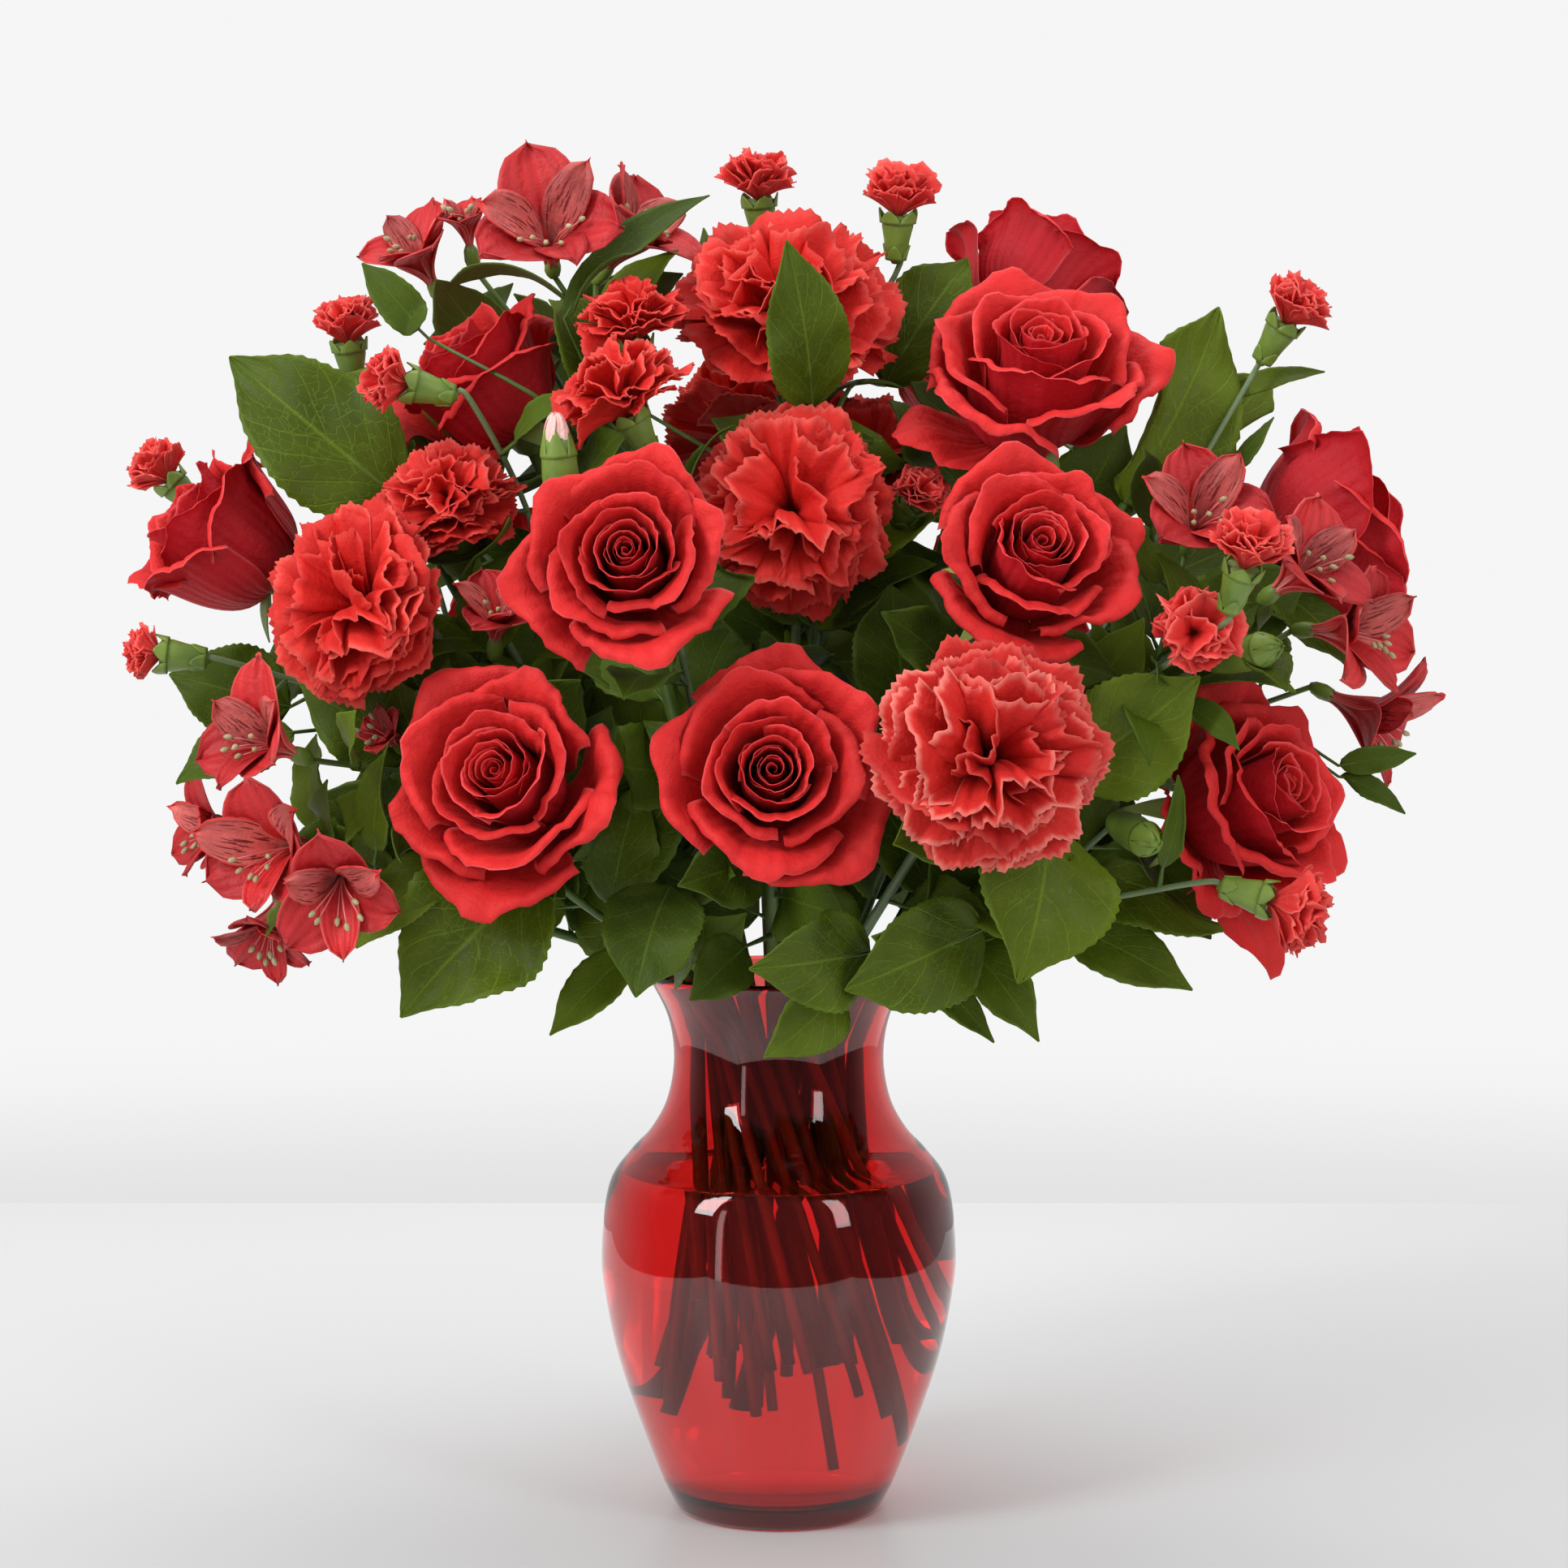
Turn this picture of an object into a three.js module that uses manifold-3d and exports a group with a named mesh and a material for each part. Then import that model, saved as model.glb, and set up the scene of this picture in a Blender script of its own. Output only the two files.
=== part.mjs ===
// A bouquet of roses, carnations, alstroemerias and salal leaves in a red glass vase of water.
// Millimetres, +Z up. The origin is the middle of the vase's foot, and the front of the bouquet faces -Y.
import * as THREE from "three";
import { mergeVertices } from "three/addons/utils/BufferGeometryUtils.js";
import Module from "manifold-3d";

const wasm = await Module();
wasm.setup();

// Driving dimensions
const VASE_HEIGHT = 203;
const WALL = 3; // glass at the side of the vase
const FLOOR = 9; // glass under the water
const WATER_TOP = 128.5;
const NECK_HEIGHT = 172; // the narrowest ring of the vase
const NECK_ROOM = 35.8; // radius inside that ring
const SPREAD = 3.5; // how much wider the stems stand at the foot than at the neck
const TWIST = (82 * Math.PI) / 180; // the turn of the hand-tied spiral from neck to foot
const SIDES = 20; // of the vase and the water
const GAP = 0.3; // clearance between two pieces that touch
const TOUCH = 0.001; // cubic mm: two pieces that share less than this are apart
const STEM_ROOM = 1.8; // clearance that stems and branches keep on their way up
const FOOT_ROOM = 1.5; // clearance that the foot of a stem keeps from the glass
const LEAF = 0.8; // thickness
const STALK = 1.2; // half the width of a leaf's stalk
const UP = new THREE.Vector3(0, 0, 1);

// The outside of the glass, from foot to lip: [radius, height]
const VASE_OUTSIDE = [
  [36, 0], [40.2, 2.5], [46.8, 17], [60.2, 55], [66, 82], [67.3, 100], [64.2, 123.5], [56.4, 135.5],
  [48.6, 144], [42.2, 156], [39.6, NECK_HEIGHT], [42, 188], [49.4, VASE_HEIGHT],
];

// The inside of the glass, from the floor up to the lip
const VASE_INSIDE = [
  [0, FLOOR], [34, FLOOR],
  ...[2, 3, 5, 6, 7, 9, 10, 12].map((k) => [VASE_OUTSIDE[k][0] - WALL, VASE_OUTSIDE[k][1]]),
];

// Blooms: the middle of the head, which way it faces (turn from the front towards +X, and rise), its radius
const ROSES = [
  { name: "far_left", at: [-208, 2, 366], turn: -70, rise: 35, radius: 44, open: 0.25 },
  { name: "upper_left", at: [-112, 5, 426], turn: -65, rise: 50, radius: 43, open: 0.15 },
  { name: "centre_left", at: [-50, -124, 359], turn: -4, rise: 16, radius: 43, open: 0.8 },
  { name: "lower_left", at: [-94, -98, 283], turn: -18, rise: 20, radius: 46, open: 0.95 },
  { name: "lower_centre", at: [-2, -118, 286], turn: 2, rise: 14, radius: 43, open: 0.9 },
  { name: "right_centre", at: [88, -102, 360], turn: 12, rise: 26, radius: 43, open: 0.8 },
  { name: "upper_right", at: [94, -34, 428], turn: 8, rise: 50, radius: 50, open: 0.7 },
  { name: "top_right", at: [99, 52, 467], turn: 140, rise: 45, radius: 40, open: 0.3 },
  { name: "lower_right", at: [170, -62, 274], turn: 46, rise: 20, radius: 45, open: 0.6 },
  { name: "far_right", at: [208, 2, 372], turn: 100, rise: 20, radius: 49, open: 0.5 },
  { name: "back_left", at: [-96, 88, 345], turn: -145, rise: 30, radius: 42, open: 0.7 },
  { name: "back_right", at: [88, 92, 335], turn: 148, rise: 25, radius: 43, open: 0.8 },
];
const CARNATIONS = [
  { name: "left", at: [-152, -72, 344], turn: -35, rise: 12, radius: 34 },
  { name: "left_upper", at: [-120, -47, 383], turn: -15, rise: 50, radius: 24 },
  { name: "top", at: [3, -20, 456], turn: 0, rise: 48, radius: 39 },
  { name: "centre", at: [4, -62, 378], turn: -5, rise: 12, radius: 35 },
  { name: "right_front", at: [71, -148, 294], turn: 6, rise: 8, radius: 36 },
  { name: "centre_back", at: [34, 4, 399], turn: 20, rise: 30, radius: 26 },
  { name: "back_top", at: [-12, 78, 415], turn: 180, rise: 48, radius: 34 },
  { name: "back_low", at: [-6, 118, 288], turn: 180, rise: 15, radius: 36 },
];
// Sprays of small carnations. A bud has no petals showing.
const SPRAYS = [
  { name: "left", heads: [
    { at: [-241, 50, 394], turn: -80, rise: 45, radius: 12 },
    { at: [-230, -34, 325], turn: -85, rise: 5, radius: 10 },
    { at: [-158, 56, 388], turn: -120, rise: 40, radius: 14 }] },
  { name: "upper_left", heads: [
    { at: [-164, 22, 447], turn: -20, rise: 75, radius: 13 },
    { at: [-137, -58, 423], turn: -80, rise: 14, radius: 12 }] },
  { name: "centre", heads: [
    { at: [-57, -82, 420], turn: -60, rise: 60, radius: 25 },
    { at: [-53, -40, 448], turn: -20, rise: 76, radius: 21 },
    { at: [-76, -94, 396], turn: -20, rise: 78, radius: 6, bud: true }] },
  { name: "top", heads: [
    { at: [-8, 34, 503], turn: -15, rise: 75, radius: 14 },
    { at: [45, 4, 494], turn: 10, rise: 75, radius: 14 },
    { at: [51, -40, 384], turn: 20, rise: 30, radius: 10 }] },
  { name: "right", heads: [
    { at: [189, -20, 451], turn: 55, rise: 55, radius: 13 },
    { at: [143, -110, 335], turn: 0, rise: 10, radius: 15 },
    { at: [158, -132, 362], turn: 30, rise: 60, radius: 14 },
    { at: [168, -96, 328], turn: 40, rise: 10, radius: 6, bud: true }] },
  { name: "low_right", heads: [
    { at: [176, -108, 240], turn: 75, rise: -15, radius: 16 },
    { at: [128, -96, 262], turn: 20, rise: -10, radius: 6, bud: true }] },
];
const ALSTROEMERIAS = [
  { name: "top", flowers: [
    { at: [-84, -26, 481], turn: 0, rise: 30, radius: 30 },
    { at: [-53, 30, 486], turn: 60, rise: 45, radius: 26 },
    { at: [-140, 36, 478], turn: -35, rise: 48, radius: 21 },
    { at: [-120, 27, 488], turn: -20, rise: 60, radius: 15 }] },
  { name: "right", flowers: [
    { at: [150, -64, 376], turn: 5, rise: 30, radius: 26 },
    { at: [184, -100, 358], turn: 40, rise: 30, radius: 24 },
    { at: [207, -66, 334], turn: 50, rise: 0, radius: 25 },
    { at: [223, -16, 300], turn: 65, rise: -25, radius: 26 }] },
  { name: "low_left", flowers: [
    { at: [-182, -66, 256], turn: -30, rise: 0, radius: 28 },
    { at: [-152, -108, 245], turn: 0, rise: -20, radius: 24 },
    { at: [-211, -26, 260], turn: -60, rise: 0, radius: 19 },
    { at: [-189, -30, 221], turn: -20, rise: -50, radius: 20 }] },
  { name: "left", flowers: [
    { at: [-181, -100, 298], turn: -40, rise: 20, radius: 24 },
    { at: [-141, -58, 297], turn: -40, rise: 30, radius: 15 },
    { at: [-100, -64, 341], turn: 10, rise: 50, radius: 18 }] },
  { name: "back", flowers: [
    { at: [22, 108, 368], turn: 170, rise: 35, radius: 24 },
    { at: [-38, 122, 352], turn: 190, rise: 25, radius: 22 },
    { at: [62, 72, 418], turn: 150, rise: 50, radius: 20 }] },
];
// Leafy stems: each leaf from its base to its tip, with its width. The last one ends the stem.
const SALAL = [
  { name: "left", leaves: [
    { from: [-132, -8, 398], to: [-170, -8, 428], width: 34 },
    { from: [-112, 34, 290], to: [-170, 64, 314], width: 44 },
    { from: [-138, -26, 381], to: [-205, -18, 430], width: 50 }] },
  { name: "top", leaves: [
    { from: [-60, -6, 420], to: [-88, -10, 456], width: 34 },
    { from: [40, 14, 425], to: [75, 22, 472], width: 38 },
    { from: [-10, 30, 440], to: [-32, 40, 488], width: 30 },
    { from: [12, -46, 414], to: [2, -70, 471], width: 32 }] },
  { name: "right", leaves: [
    { from: [142, 6, 382], to: [188, 30, 432], width: 38 },
    { from: [168, 2, 420], to: [203, -4, 430], width: 9 },
    { from: [130, 40, 340], to: [186, 62, 366], width: 42 },
    { from: [128, -12, 380], to: [169, 5, 451], width: 48 }] },
  { name: "low_right", leaves: [
    { from: [100, -62, 300], to: [130, -74, 338], width: 28 },
    { from: [94, -98, 268], to: [80, -118, 215], width: 52 },
    { from: [102, -46, 228], to: [148, -60, 203], width: 24 },
    { from: [108, -48, 248], to: [168, -60, 224], width: 34 },
    { from: [100, -86, 284], to: [148, -98, 316], width: 42 }] },
  { name: "low_centre", leaves: [
    { from: [62, -56, 226], to: [95, -75, 190], width: 22 },
    { from: [50, -50, 214], to: [78, -60, 186], width: 13 },
    { from: [30, 20, 258], to: [48, 30, 310], width: 40 },
    { from: [32, -92, 222], to: [-10, -116, 220], width: 34 },
    { from: [22, -80, 208], to: [-4, -96, 184], width: 24 },
    { from: [72, -88, 230], to: [22, -108, 214], width: 40 }] },
  { name: "low_left", leaves: [
    { from: [-116, -66, 252], to: [-148, -84, 222], width: 26 },
    { from: [-53, -60, 219], to: [-81, -74, 190], width: 18 },
    { from: [-36, -16, 268], to: [-70, -20, 316], width: 42 },
    { from: [-84, -74, 248], to: [-131, -88, 197], width: 54 }] },
  { name: "back", leaves: [
    { from: [-34, 62, 250], to: [-62, 106, 204], width: 42 },
    { from: [-38, 50, 300], to: [-56, 62, 350], width: 42 },
    { from: [-58, 62, 396], to: [-92, 76, 452], width: 38 }] },
];
// Leaves on other stems, by the name of the stem that carries them
const STEM_LEAVES = {
  rose_far_left_stem: [
    { from: [-184, 2, 304], to: [-229, 0, 316], width: 36 },
    { from: [-178, -30, 296], to: [-220, -42, 280], width: 28 }],
  alstroemeria_top: [
    { from: [-128, -26, 440], to: [-153, -22, 467], width: 16 },
    { from: [-78, -30, 447], to: [-28, -8, 495], width: 17 }],
  alstroemeria_right: [
    { from: [205, -34, 284], to: [233, -34, 290], width: 10 },
    { from: [205, -34, 280], to: [229, -38, 267], width: 10 }],
  rose_lower_left_stem: [{ from: [-38, -78, 244], to: [-52, -100, 208], width: 38 }],
  rose_right_centre_stem: [{ from: [44, -56, 304], to: [38, -52, 350], width: 40 }],
  rose_lower_centre_stem: [{ from: [-12, -74, 222], to: [-32, -90, 206], width: 22 }],
  rose_back_left_stem: [{ from: [-98, 60, 268], to: [-148, 78, 232], width: 38 }],
  rose_back_right_stem: [
    { from: [52, 70, 256], to: [66, 112, 206], width: 42 },
    { from: [92, 66, 276], to: [142, 84, 240], width: 38 },
    { from: [36, 58, 300], to: [44, 78, 352], width: 42 }],
  rose_far_right_stem: [{ from: [118, 8, 296], to: [160, 24, 272], width: 30 }],
};
const STEM_RADIUS = { rose: 2.8, carnation: 2, spray: 1.7, alstroemeria: 2.1, salal: 1.7, twig: 1.1 };

const COLOURS = {
  glass: [0x9c0d14, 0.05], water: [0xb5141a, 0.02], rose: [0xb80c1a, 0.55], carnation: [0xd81f1c, 0.7],
  alstroemeria: [0xb51a2c, 0.5], green: [0x4f7a2c, 0.5], salal: [0x2f5a1c, 0.35],
};

// Solids ---------------------------------------------------------------------------------------

function solidFrom(geometry) {
  const bare = new THREE.BufferGeometry().setAttribute("position", geometry.getAttribute("position"));
  if (geometry.index) bare.setIndex(geometry.index);
  const merged = mergeVertices(bare, 1e-4);
  const triVerts = new Uint32Array(merged.index.array);
  const vertProperties = new Float32Array(merged.attributes.position.array);
  const solid = new wasm.Manifold(new wasm.Mesh({ numProp: 3, vertProperties, triVerts }));
  if (solid.volume() > 0) return solid;
  for (let i = 0; i < triVerts.length; i += 3) {
    [triVerts[i], triVerts[i + 1]] = [triVerts[i + 1], triVerts[i]];
  }
  return new wasm.Manifold(new wasm.Mesh({ numProp: 3, vertProperties, triVerts }));
}

const joined = (solids) => solids.reduce((all, one) => all.add(one));

// The largest body of a solid, without the loose scraps that a cut can leave
function largestBody(solid) {
  return solid.decompose().reduce((best, one) => (one.volume() > best.volume() ? one : best));
}

function meshOf(name, solid, finish) {
  const made = solid.getMesh();
  const geometry = new THREE.BufferGeometry();
  geometry.setAttribute("position", new THREE.BufferAttribute(new Float32Array(made.vertProperties), 3));
  geometry.setIndex(new THREE.BufferAttribute(new Uint32Array(made.triVerts), 1));
  geometry.computeVertexNormals();
  const [color, roughness] = COLOURS[finish];
  const mesh = new THREE.Mesh(geometry, new THREE.MeshStandardMaterial({ color, roughness, metalness: 0 }));
  mesh.name = name;
  return mesh;
}

// A thin blade over surface(u, v), with u from -1 to 1 across it and v from 0 to 1 along it
function blade(surface, across, along, thickness) {
  const step = 0.01;
  const within = (x, least) => Math.min(1, Math.max(least, x));
  const faces = [[], []];
  for (let j = 0; j <= along; j++) {
    for (let i = 0; i <= across; i++) {
      const u = -1 + (2 * i) / across;
      const v = j / along;
      const wide = surface(within(u + step, -1), v).sub(surface(within(u - step, -1), v));
      const long = surface(u, within(v + step, 0)).sub(surface(u, within(v - step, 0)));
      const normal = wide.cross(long).normalize().multiplyScalar(thickness / 2);
      faces[0].push(surface(u, v).add(normal));
      faces[1].push(surface(u, v).sub(normal));
    }
  }
  const row = across + 1;
  const count = faces[0].length;
  const index = [];
  for (let j = 0; j < along; j++) {
    for (let i = 0; i < across; i++) {
      const [a, b, c, d] = [j * row + i, j * row + i + 1, (j + 1) * row + i, (j + 1) * row + i + 1];
      index.push(a, b, d, a, d, c, count + a, count + d, count + b, count + a, count + c, count + d);
    }
  }
  const rim = [];
  for (let i = 0; i < across; i++) rim.push(i);
  for (let j = 0; j < along; j++) rim.push(j * row + across);
  for (let i = across; i > 0; i--) rim.push(along * row + i);
  for (let j = along; j > 0; j--) rim.push(j * row);
  rim.forEach((a, k) => {
    const b = rim[(k + 1) % rim.length];
    index.push(a, count + a, count + b, a, count + b, b);
  });
  const geometry = new THREE.BufferGeometry().setFromPoints([...faces[0], ...faces[1]]);
  return solidFrom(geometry.setIndex(index));
}

// A tube with one ring at each point of its path
function tube(points, radius, sides) {
  const corners = [];
  for (let k = 0; k < sides; k++) {
    const angle = (2 * Math.PI * k) / sides;
    corners.push(new THREE.Vector2(radius * Math.cos(angle), radius * Math.sin(angle)));
  }
  const path = new THREE.CatmullRomCurve3(points, false, "centripetal");
  path.getUtoTmapping = (u) => u; // the rings stand at the points, and not at equal distances
  return solidFrom(new THREE.ExtrudeGeometry(new THREE.Shape(corners), {
    steps: points.length - 1, bevelEnabled: false, extrudePath: path,
  }));
}

function turned(profile, sides) {
  const points = profile.map(([radius, height]) => new THREE.Vector2(radius, height));
  const geometry = new THREE.LatheGeometry(points, sides);
  geometry.rotateX(Math.PI / 2); // a lathe turns about Y, and this frame's up is Z
  return solidFrom(geometry);
}

// Places ---------------------------------------------------------------------------------------

const vector = (place) => new THREE.Vector3(...place);

// An even scatter from 0 to 1 that is the same on every run
function scatter(n) {
  const x = Math.sin(n * 12.9898 + 4.1414) * 43758.5453;
  return x - Math.floor(x);
}

function facing(turn, rise) {
  const [t, r] = [THREE.MathUtils.degToRad(turn), THREE.MathUtils.degToRad(rise)];
  return new THREE.Vector3(Math.sin(t) * Math.cos(r), -Math.cos(t) * Math.cos(r), Math.sin(r));
}

// The frame of a bloom whose base is at `base` and which opens along `axis`
function bloomFrame(base, axis) {
  const side = new THREE.Vector3().crossVectors(UP, axis).normalize();
  const back = new THREE.Vector3().crossVectors(axis, side);
  return new THREE.Matrix4().makeBasis(side, back, axis).setPosition(base);
}

const placed = (solid, frame) => solid.transform(Array.from(frame.elements));

function bloomOf(kind, row, depth) {
  const axis = facing(row.turn, row.rise);
  const centre = vector(row.at);
  return { kind, ...row, axis, centre, base: centre.clone().addScaledVector(axis, -depth * row.radius) };
}

const DEPTH = { rose: 0.55, carnation: 0.42, mini: 0.5, alstroemeria: 0.75 };
const roses = ROSES.map((row) => bloomOf("rose", row, DEPTH.rose));
const carnations = CARNATIONS.map((row) => bloomOf("carnation", row, DEPTH.carnation));
const sprays = SPRAYS.map((row) => ({
  ...row, owner: `mini_carnations_${row.name}`,
  heads: row.heads.map((head) => bloomOf("mini", head, DEPTH.mini)),
}));
const alstroemerias = ALSTROEMERIAS.map((row) => ({
  ...row, owner: `alstroemeria_${row.name}`,
  flowers: row.flowers.map((flower) => bloomOf("alstroemeria", flower, DEPTH.alstroemeria)),
}));
roses.forEach((rose) => (rose.owner = `rose_${rose.name}_stem`));
carnations.forEach((one) => (one.owner = `carnation_${one.name}_stem`));
sprays.forEach((spray) => spray.heads.forEach((head) => (head.owner = spray.owner)));
alstroemerias.forEach((stem) => stem.flowers.forEach((flower) => (flower.owner = stem.owner)));

const blooms = [
  ...roses, ...carnations, ...sprays.flatMap((s) => s.heads), ...alstroemerias.flatMap((s) => s.flowers),
];

// Each bloom's own room and its cup's, as balls that stems and leaves go round: [radius, distance under]
const CUP_ROOM = { rose: [14, 7], carnation: [8.5, 16], mini: [6, 10], alstroemeria: [3.5, 4] };
const balls = blooms.flatMap(({ owner, kind, centre, base, axis, radius }) => {
  const [cup, under] = CUP_ROOM[kind];
  const below = base.clone().addScaledVector(axis, -under);
  return [{ owner, centre, radius }, { owner, centre: below, radius: cup }];
});

function pushedOut(point, owner, room) {
  for (const ball of balls) {
    if (ball.owner === owner) continue;
    const away = point.clone().sub(ball.centre);
    const least = ball.radius + room;
    if (away.length() < least) point.copy(ball.centre).addScaledVector(away.normalize(), least);
  }
  return point;
}

// Stems ----------------------------------------------------------------------------------------

const CALYX = { rose: 9, carnation: 30, mini: 22, alstroemeria: 9 };
const fork = (heads, share) => {
  const hub = new THREE.Vector3(0, 0, VASE_HEIGHT);
  const total = heads.reduce((sum, head) => sum.add(head.base), new THREE.Vector3());
  return hub.lerp(total.divideScalar(heads.length), share);
};
// The foot of a bloom's cup, where its stem ends
const cupFoot = (bloom) => bloom.base.clone().addScaledVector(bloom.axis, -CALYX[bloom.kind]);

const mains = [
  ...roses.map((b) => ({ owner: b.owner, kind: "rose", end: cupFoot(b), lead: b.axis })),
  ...carnations.map((b) => ({ owner: b.owner, kind: "carnation", end: cupFoot(b), lead: b.axis })),
  ...sprays.map((s) => ({ owner: s.owner, kind: "spray", end: fork(s.heads, 0.6) })),
  ...alstroemerias.map((s) => ({ owner: s.owner, kind: "alstroemeria", end: fork(s.flowers, 0.74) })),
  ...SALAL.map((s) => ({ owner: `salal_${s.name}`, kind: "salal", end: vector(s.leaves.at(-1).from) })),
];

// Where each stem passes the neck: on the side that it leans to, spaced so that no two touch
function neckPlaces(stems) {
  const reach = 215;
  const places = stems.map(({ end }) => new THREE.Vector2(end.x, end.y).multiplyScalar(NECK_ROOM / reach));
  for (let round = 0; round < 300; round++) {
    const moves = places.map(() => new THREE.Vector2());
    places.forEach((a, i) => {
      places.forEach((b, k) => {
        if (i === k) return;
        const away = a.clone().sub(b);
        const short = STEM_RADIUS[stems[i].kind] + STEM_RADIUS[stems[k].kind] + 1.6 - away.length();
        if (short > 0) moves[i].addScaledVector(away.normalize(), 0.4 * short);
      });
    });
    places.forEach((place, i) => {
      place.add(moves[i]);
      const most = NECK_ROOM - STEM_RADIUS[stems[i].kind] - 0.8;
      if (place.length() > most) place.setLength(most);
    });
  }
  return places;
}

// A bow from one place to another that arrives along `lead`, as a few points
function bow(from, leave, end, lead, points) {
  const far = from.distanceTo(end);
  return new THREE.CubicBezierCurve3(
    from.clone(),
    from.clone().addScaledVector(leave, 0.3 * far),
    end.clone().addScaledVector(lead, -0.38 * far),
    end.clone(),
  ).getPoints(points);
}

const towards = (from, to) => to.clone().sub(from).normalize();

// The radius inside the glass at a height
function insideAt(height) {
  const above = VASE_INSIDE.findIndex(([, z]) => z > height);
  const [[r0, z0], [r1, z1]] = VASE_INSIDE.slice(above - 1, above + 1);
  return (r0 + ((r1 - r0) * (height - z0)) / (z1 - z0)) * Math.cos(Math.PI / SIDES);
}

// A stem from its cut foot, straight through the neck, and then in a bow to its bloom
function stemLine(stem, place, number) {
  const neck = new THREE.Vector3(place.x, place.y, NECK_HEIGHT + 6);
  const [c, s] = [SPREAD * Math.cos(TWIST), SPREAD * Math.sin(TWIST)];
  const ground = new THREE.Vector3(c * place.x - s * place.y, s * place.x + c * place.y, 0);
  const radius = STEM_RADIUS[stem.kind];
  const lead = stem.lead ?? towards(neck, stem.end);
  let cut = number % 9 === 4 ? 0.13 : 0.22 + 0.16 * scatter(number);
  const foot = ground.clone().lerp(neck, cut);
  while (Math.hypot(foot.x, foot.y) + radius + FOOT_ROOM > insideAt(foot.z)) {
    cut += 0.01;
    foot.copy(ground).lerp(neck, cut);
  }
  return {
    ...stem,
    radius,
    foot,
    line: bow(neck, towards(ground, neck), stem.end, lead, 5),
  };
}

// The room that the flared lip leaves to a stem
const lipRoom = (height) => (height < 188 ? 36 + 0.15 * (height - NECK_HEIGHT) : 38.4 + 0.5 * (height - 188));

const SAMPLES = 5; // on each straight piece of a line

const leaves = [
  ...SALAL.flatMap((s) => s.leaves.map((leaf, i) => ({
    ...leaf, owner: `salal_${s.name}`, last: i === s.leaves.length - 1,
  }))),
  ...Object.entries(STEM_LEAVES).flatMap(([owner, list]) => list.map((leaf) => ({ ...leaf, owner }))),
];
// A ball in the middle of each leaf, which stems go round
const leafBalls = leaves.map((leaf) => ({
  owner: leaf.owner, centre: vector(leaf.from).lerp(vector(leaf.to), 0.45), radius: 0.3 * leaf.width,
}));

function samplesOf(one) {
  const samples = [];
  for (let k = 0; k < (one.line.length - 1) * SAMPLES; k++) {
    const [low, share] = [Math.floor(k / SAMPLES), (k % SAMPLES) / SAMPLES];
    samples.push({ low, share, at: one.line[low].clone().lerp(one.line[low + 1], share) });
  }
  samples.push({ low: one.line.length - 2, share: 1, at: one.line.at(-1) });
  return samples;
}

// Moves the middle of each line until it is clear of the other lines and of the blooms that it doesn't carry
function relax(lines, still, rounds) {
  for (let round = 0; round < rounds; round++) {
    const all = [...lines, ...still].map((one) => ({ ...one, samples: samplesOf(one) }));
    const moves = lines.map((one) => one.line.map(() => new THREE.Vector3()));
    lines.forEach((one, i) => {
      for (const { low, share, at } of all[i].samples) {
        const push = new THREE.Vector3();
        for (const other of all) {
          if (other.owner === one.owner) continue;
          const least = one.radius + other.radius + STEM_ROOM;
          for (const near of other.samples) {
            const away = at.clone().sub(near.at);
            const gap = away.length();
            if (gap < least && gap > 0) push.addScaledVector(away, (0.25 * (least - gap)) / gap);
          }
        }
        for (const ball of [...balls, ...leafBalls]) {
          if (ball.owner === one.owner) continue;
          const away = at.clone().sub(ball.centre);
          const short = ball.radius + one.radius + STEM_ROOM - 0.2 - away.length();
          if (short > 0) push.addScaledVector(away.normalize(), 0.3 * short);
        }
        const over = at.z < 208 ? Math.hypot(at.x, at.y) + one.radius + 2 - lipRoom(at.z) : 0;
        if (over > 0) push.add(new THREE.Vector3(-at.x, -at.y, 0).setLength(0.4 * over));
        moves[i][low].addScaledVector(push, 1 - share);
        moves[i][low + 1].addScaledVector(push, share);
      }
      for (let k = 1; k < one.line.length - 1; k++) {
        const middle = one.line[k - 1].clone().add(one.line[k + 1]).multiplyScalar(0.5);
        moves[i][k].addScaledVector(middle.sub(one.line[k]), 0.1);
      }
    });
    lines.forEach((one, i) => {
      for (let k = 1; k < one.line.length - 1; k++) one.line[k].add(moves[i][k]);
    });
  }
}

const places = neckPlaces(mains);
const stems = mains.map((stem, i) => stemLine(stem, places[i], i));
relax(stems, [], 120);
const stemOf = new Map(stems.map((stem) => [stem.owner, stem]));

// A stalk that rises to the foot of a leaf from a place near it on its stem
function stalkLine(owner, end, lead) {
  const cost = (one) => {
    const high = one.z - end.z + 0.6 * Math.hypot(one.x - end.x, one.y - end.y);
    return one.distanceTo(end) + Math.max(0, high);
  };
  const choice = samplesOf(stemOf.get(owner)).slice(SAMPLES - 1).map((sample) => sample.at);
  const root = choice.reduce((best, one) => (cost(one) < cost(best) ? one : best));
  const points = root.distanceTo(end) > 24 ? 2 : 1;
  return { owner, radius: STEM_RADIUS.twig, line: bow(root, towards(root, end), end, lead, points) };
}

// A branch to the cup of a bloom. The first of a stem leaves from its end, and the next ones from lower down.
function branchLine(bloom, number) {
  const [below, top] = stemOf.get(bloom.owner).line.slice(-2);
  const root = top.clone().lerp(below, 0.27 * number);
  const end = cupFoot(bloom);
  return {
    owner: bloom.owner, radius: STEM_RADIUS.twig, line: bow(root, towards(root, end), end, bloom.axis, 2),
  };
}

leaves.filter((leaf) => !leaf.last).forEach((leaf) => {
  const [from, to] = [vector(leaf.from), vector(leaf.to)];
  leaf.stalk = stalkLine(leaf.owner, from, towards(from, to));
});
const branches = [...sprays.map((s) => s.heads), ...alstroemerias.map((s) => s.flowers)]
  .flatMap((blooms) => blooms.map(branchLine));
relax([...branches, ...leaves.flatMap((leaf) => leaf.stalk ?? [])], stems, 60);

// Sub-parts ------------------------------------------------------------------------------------

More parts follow.
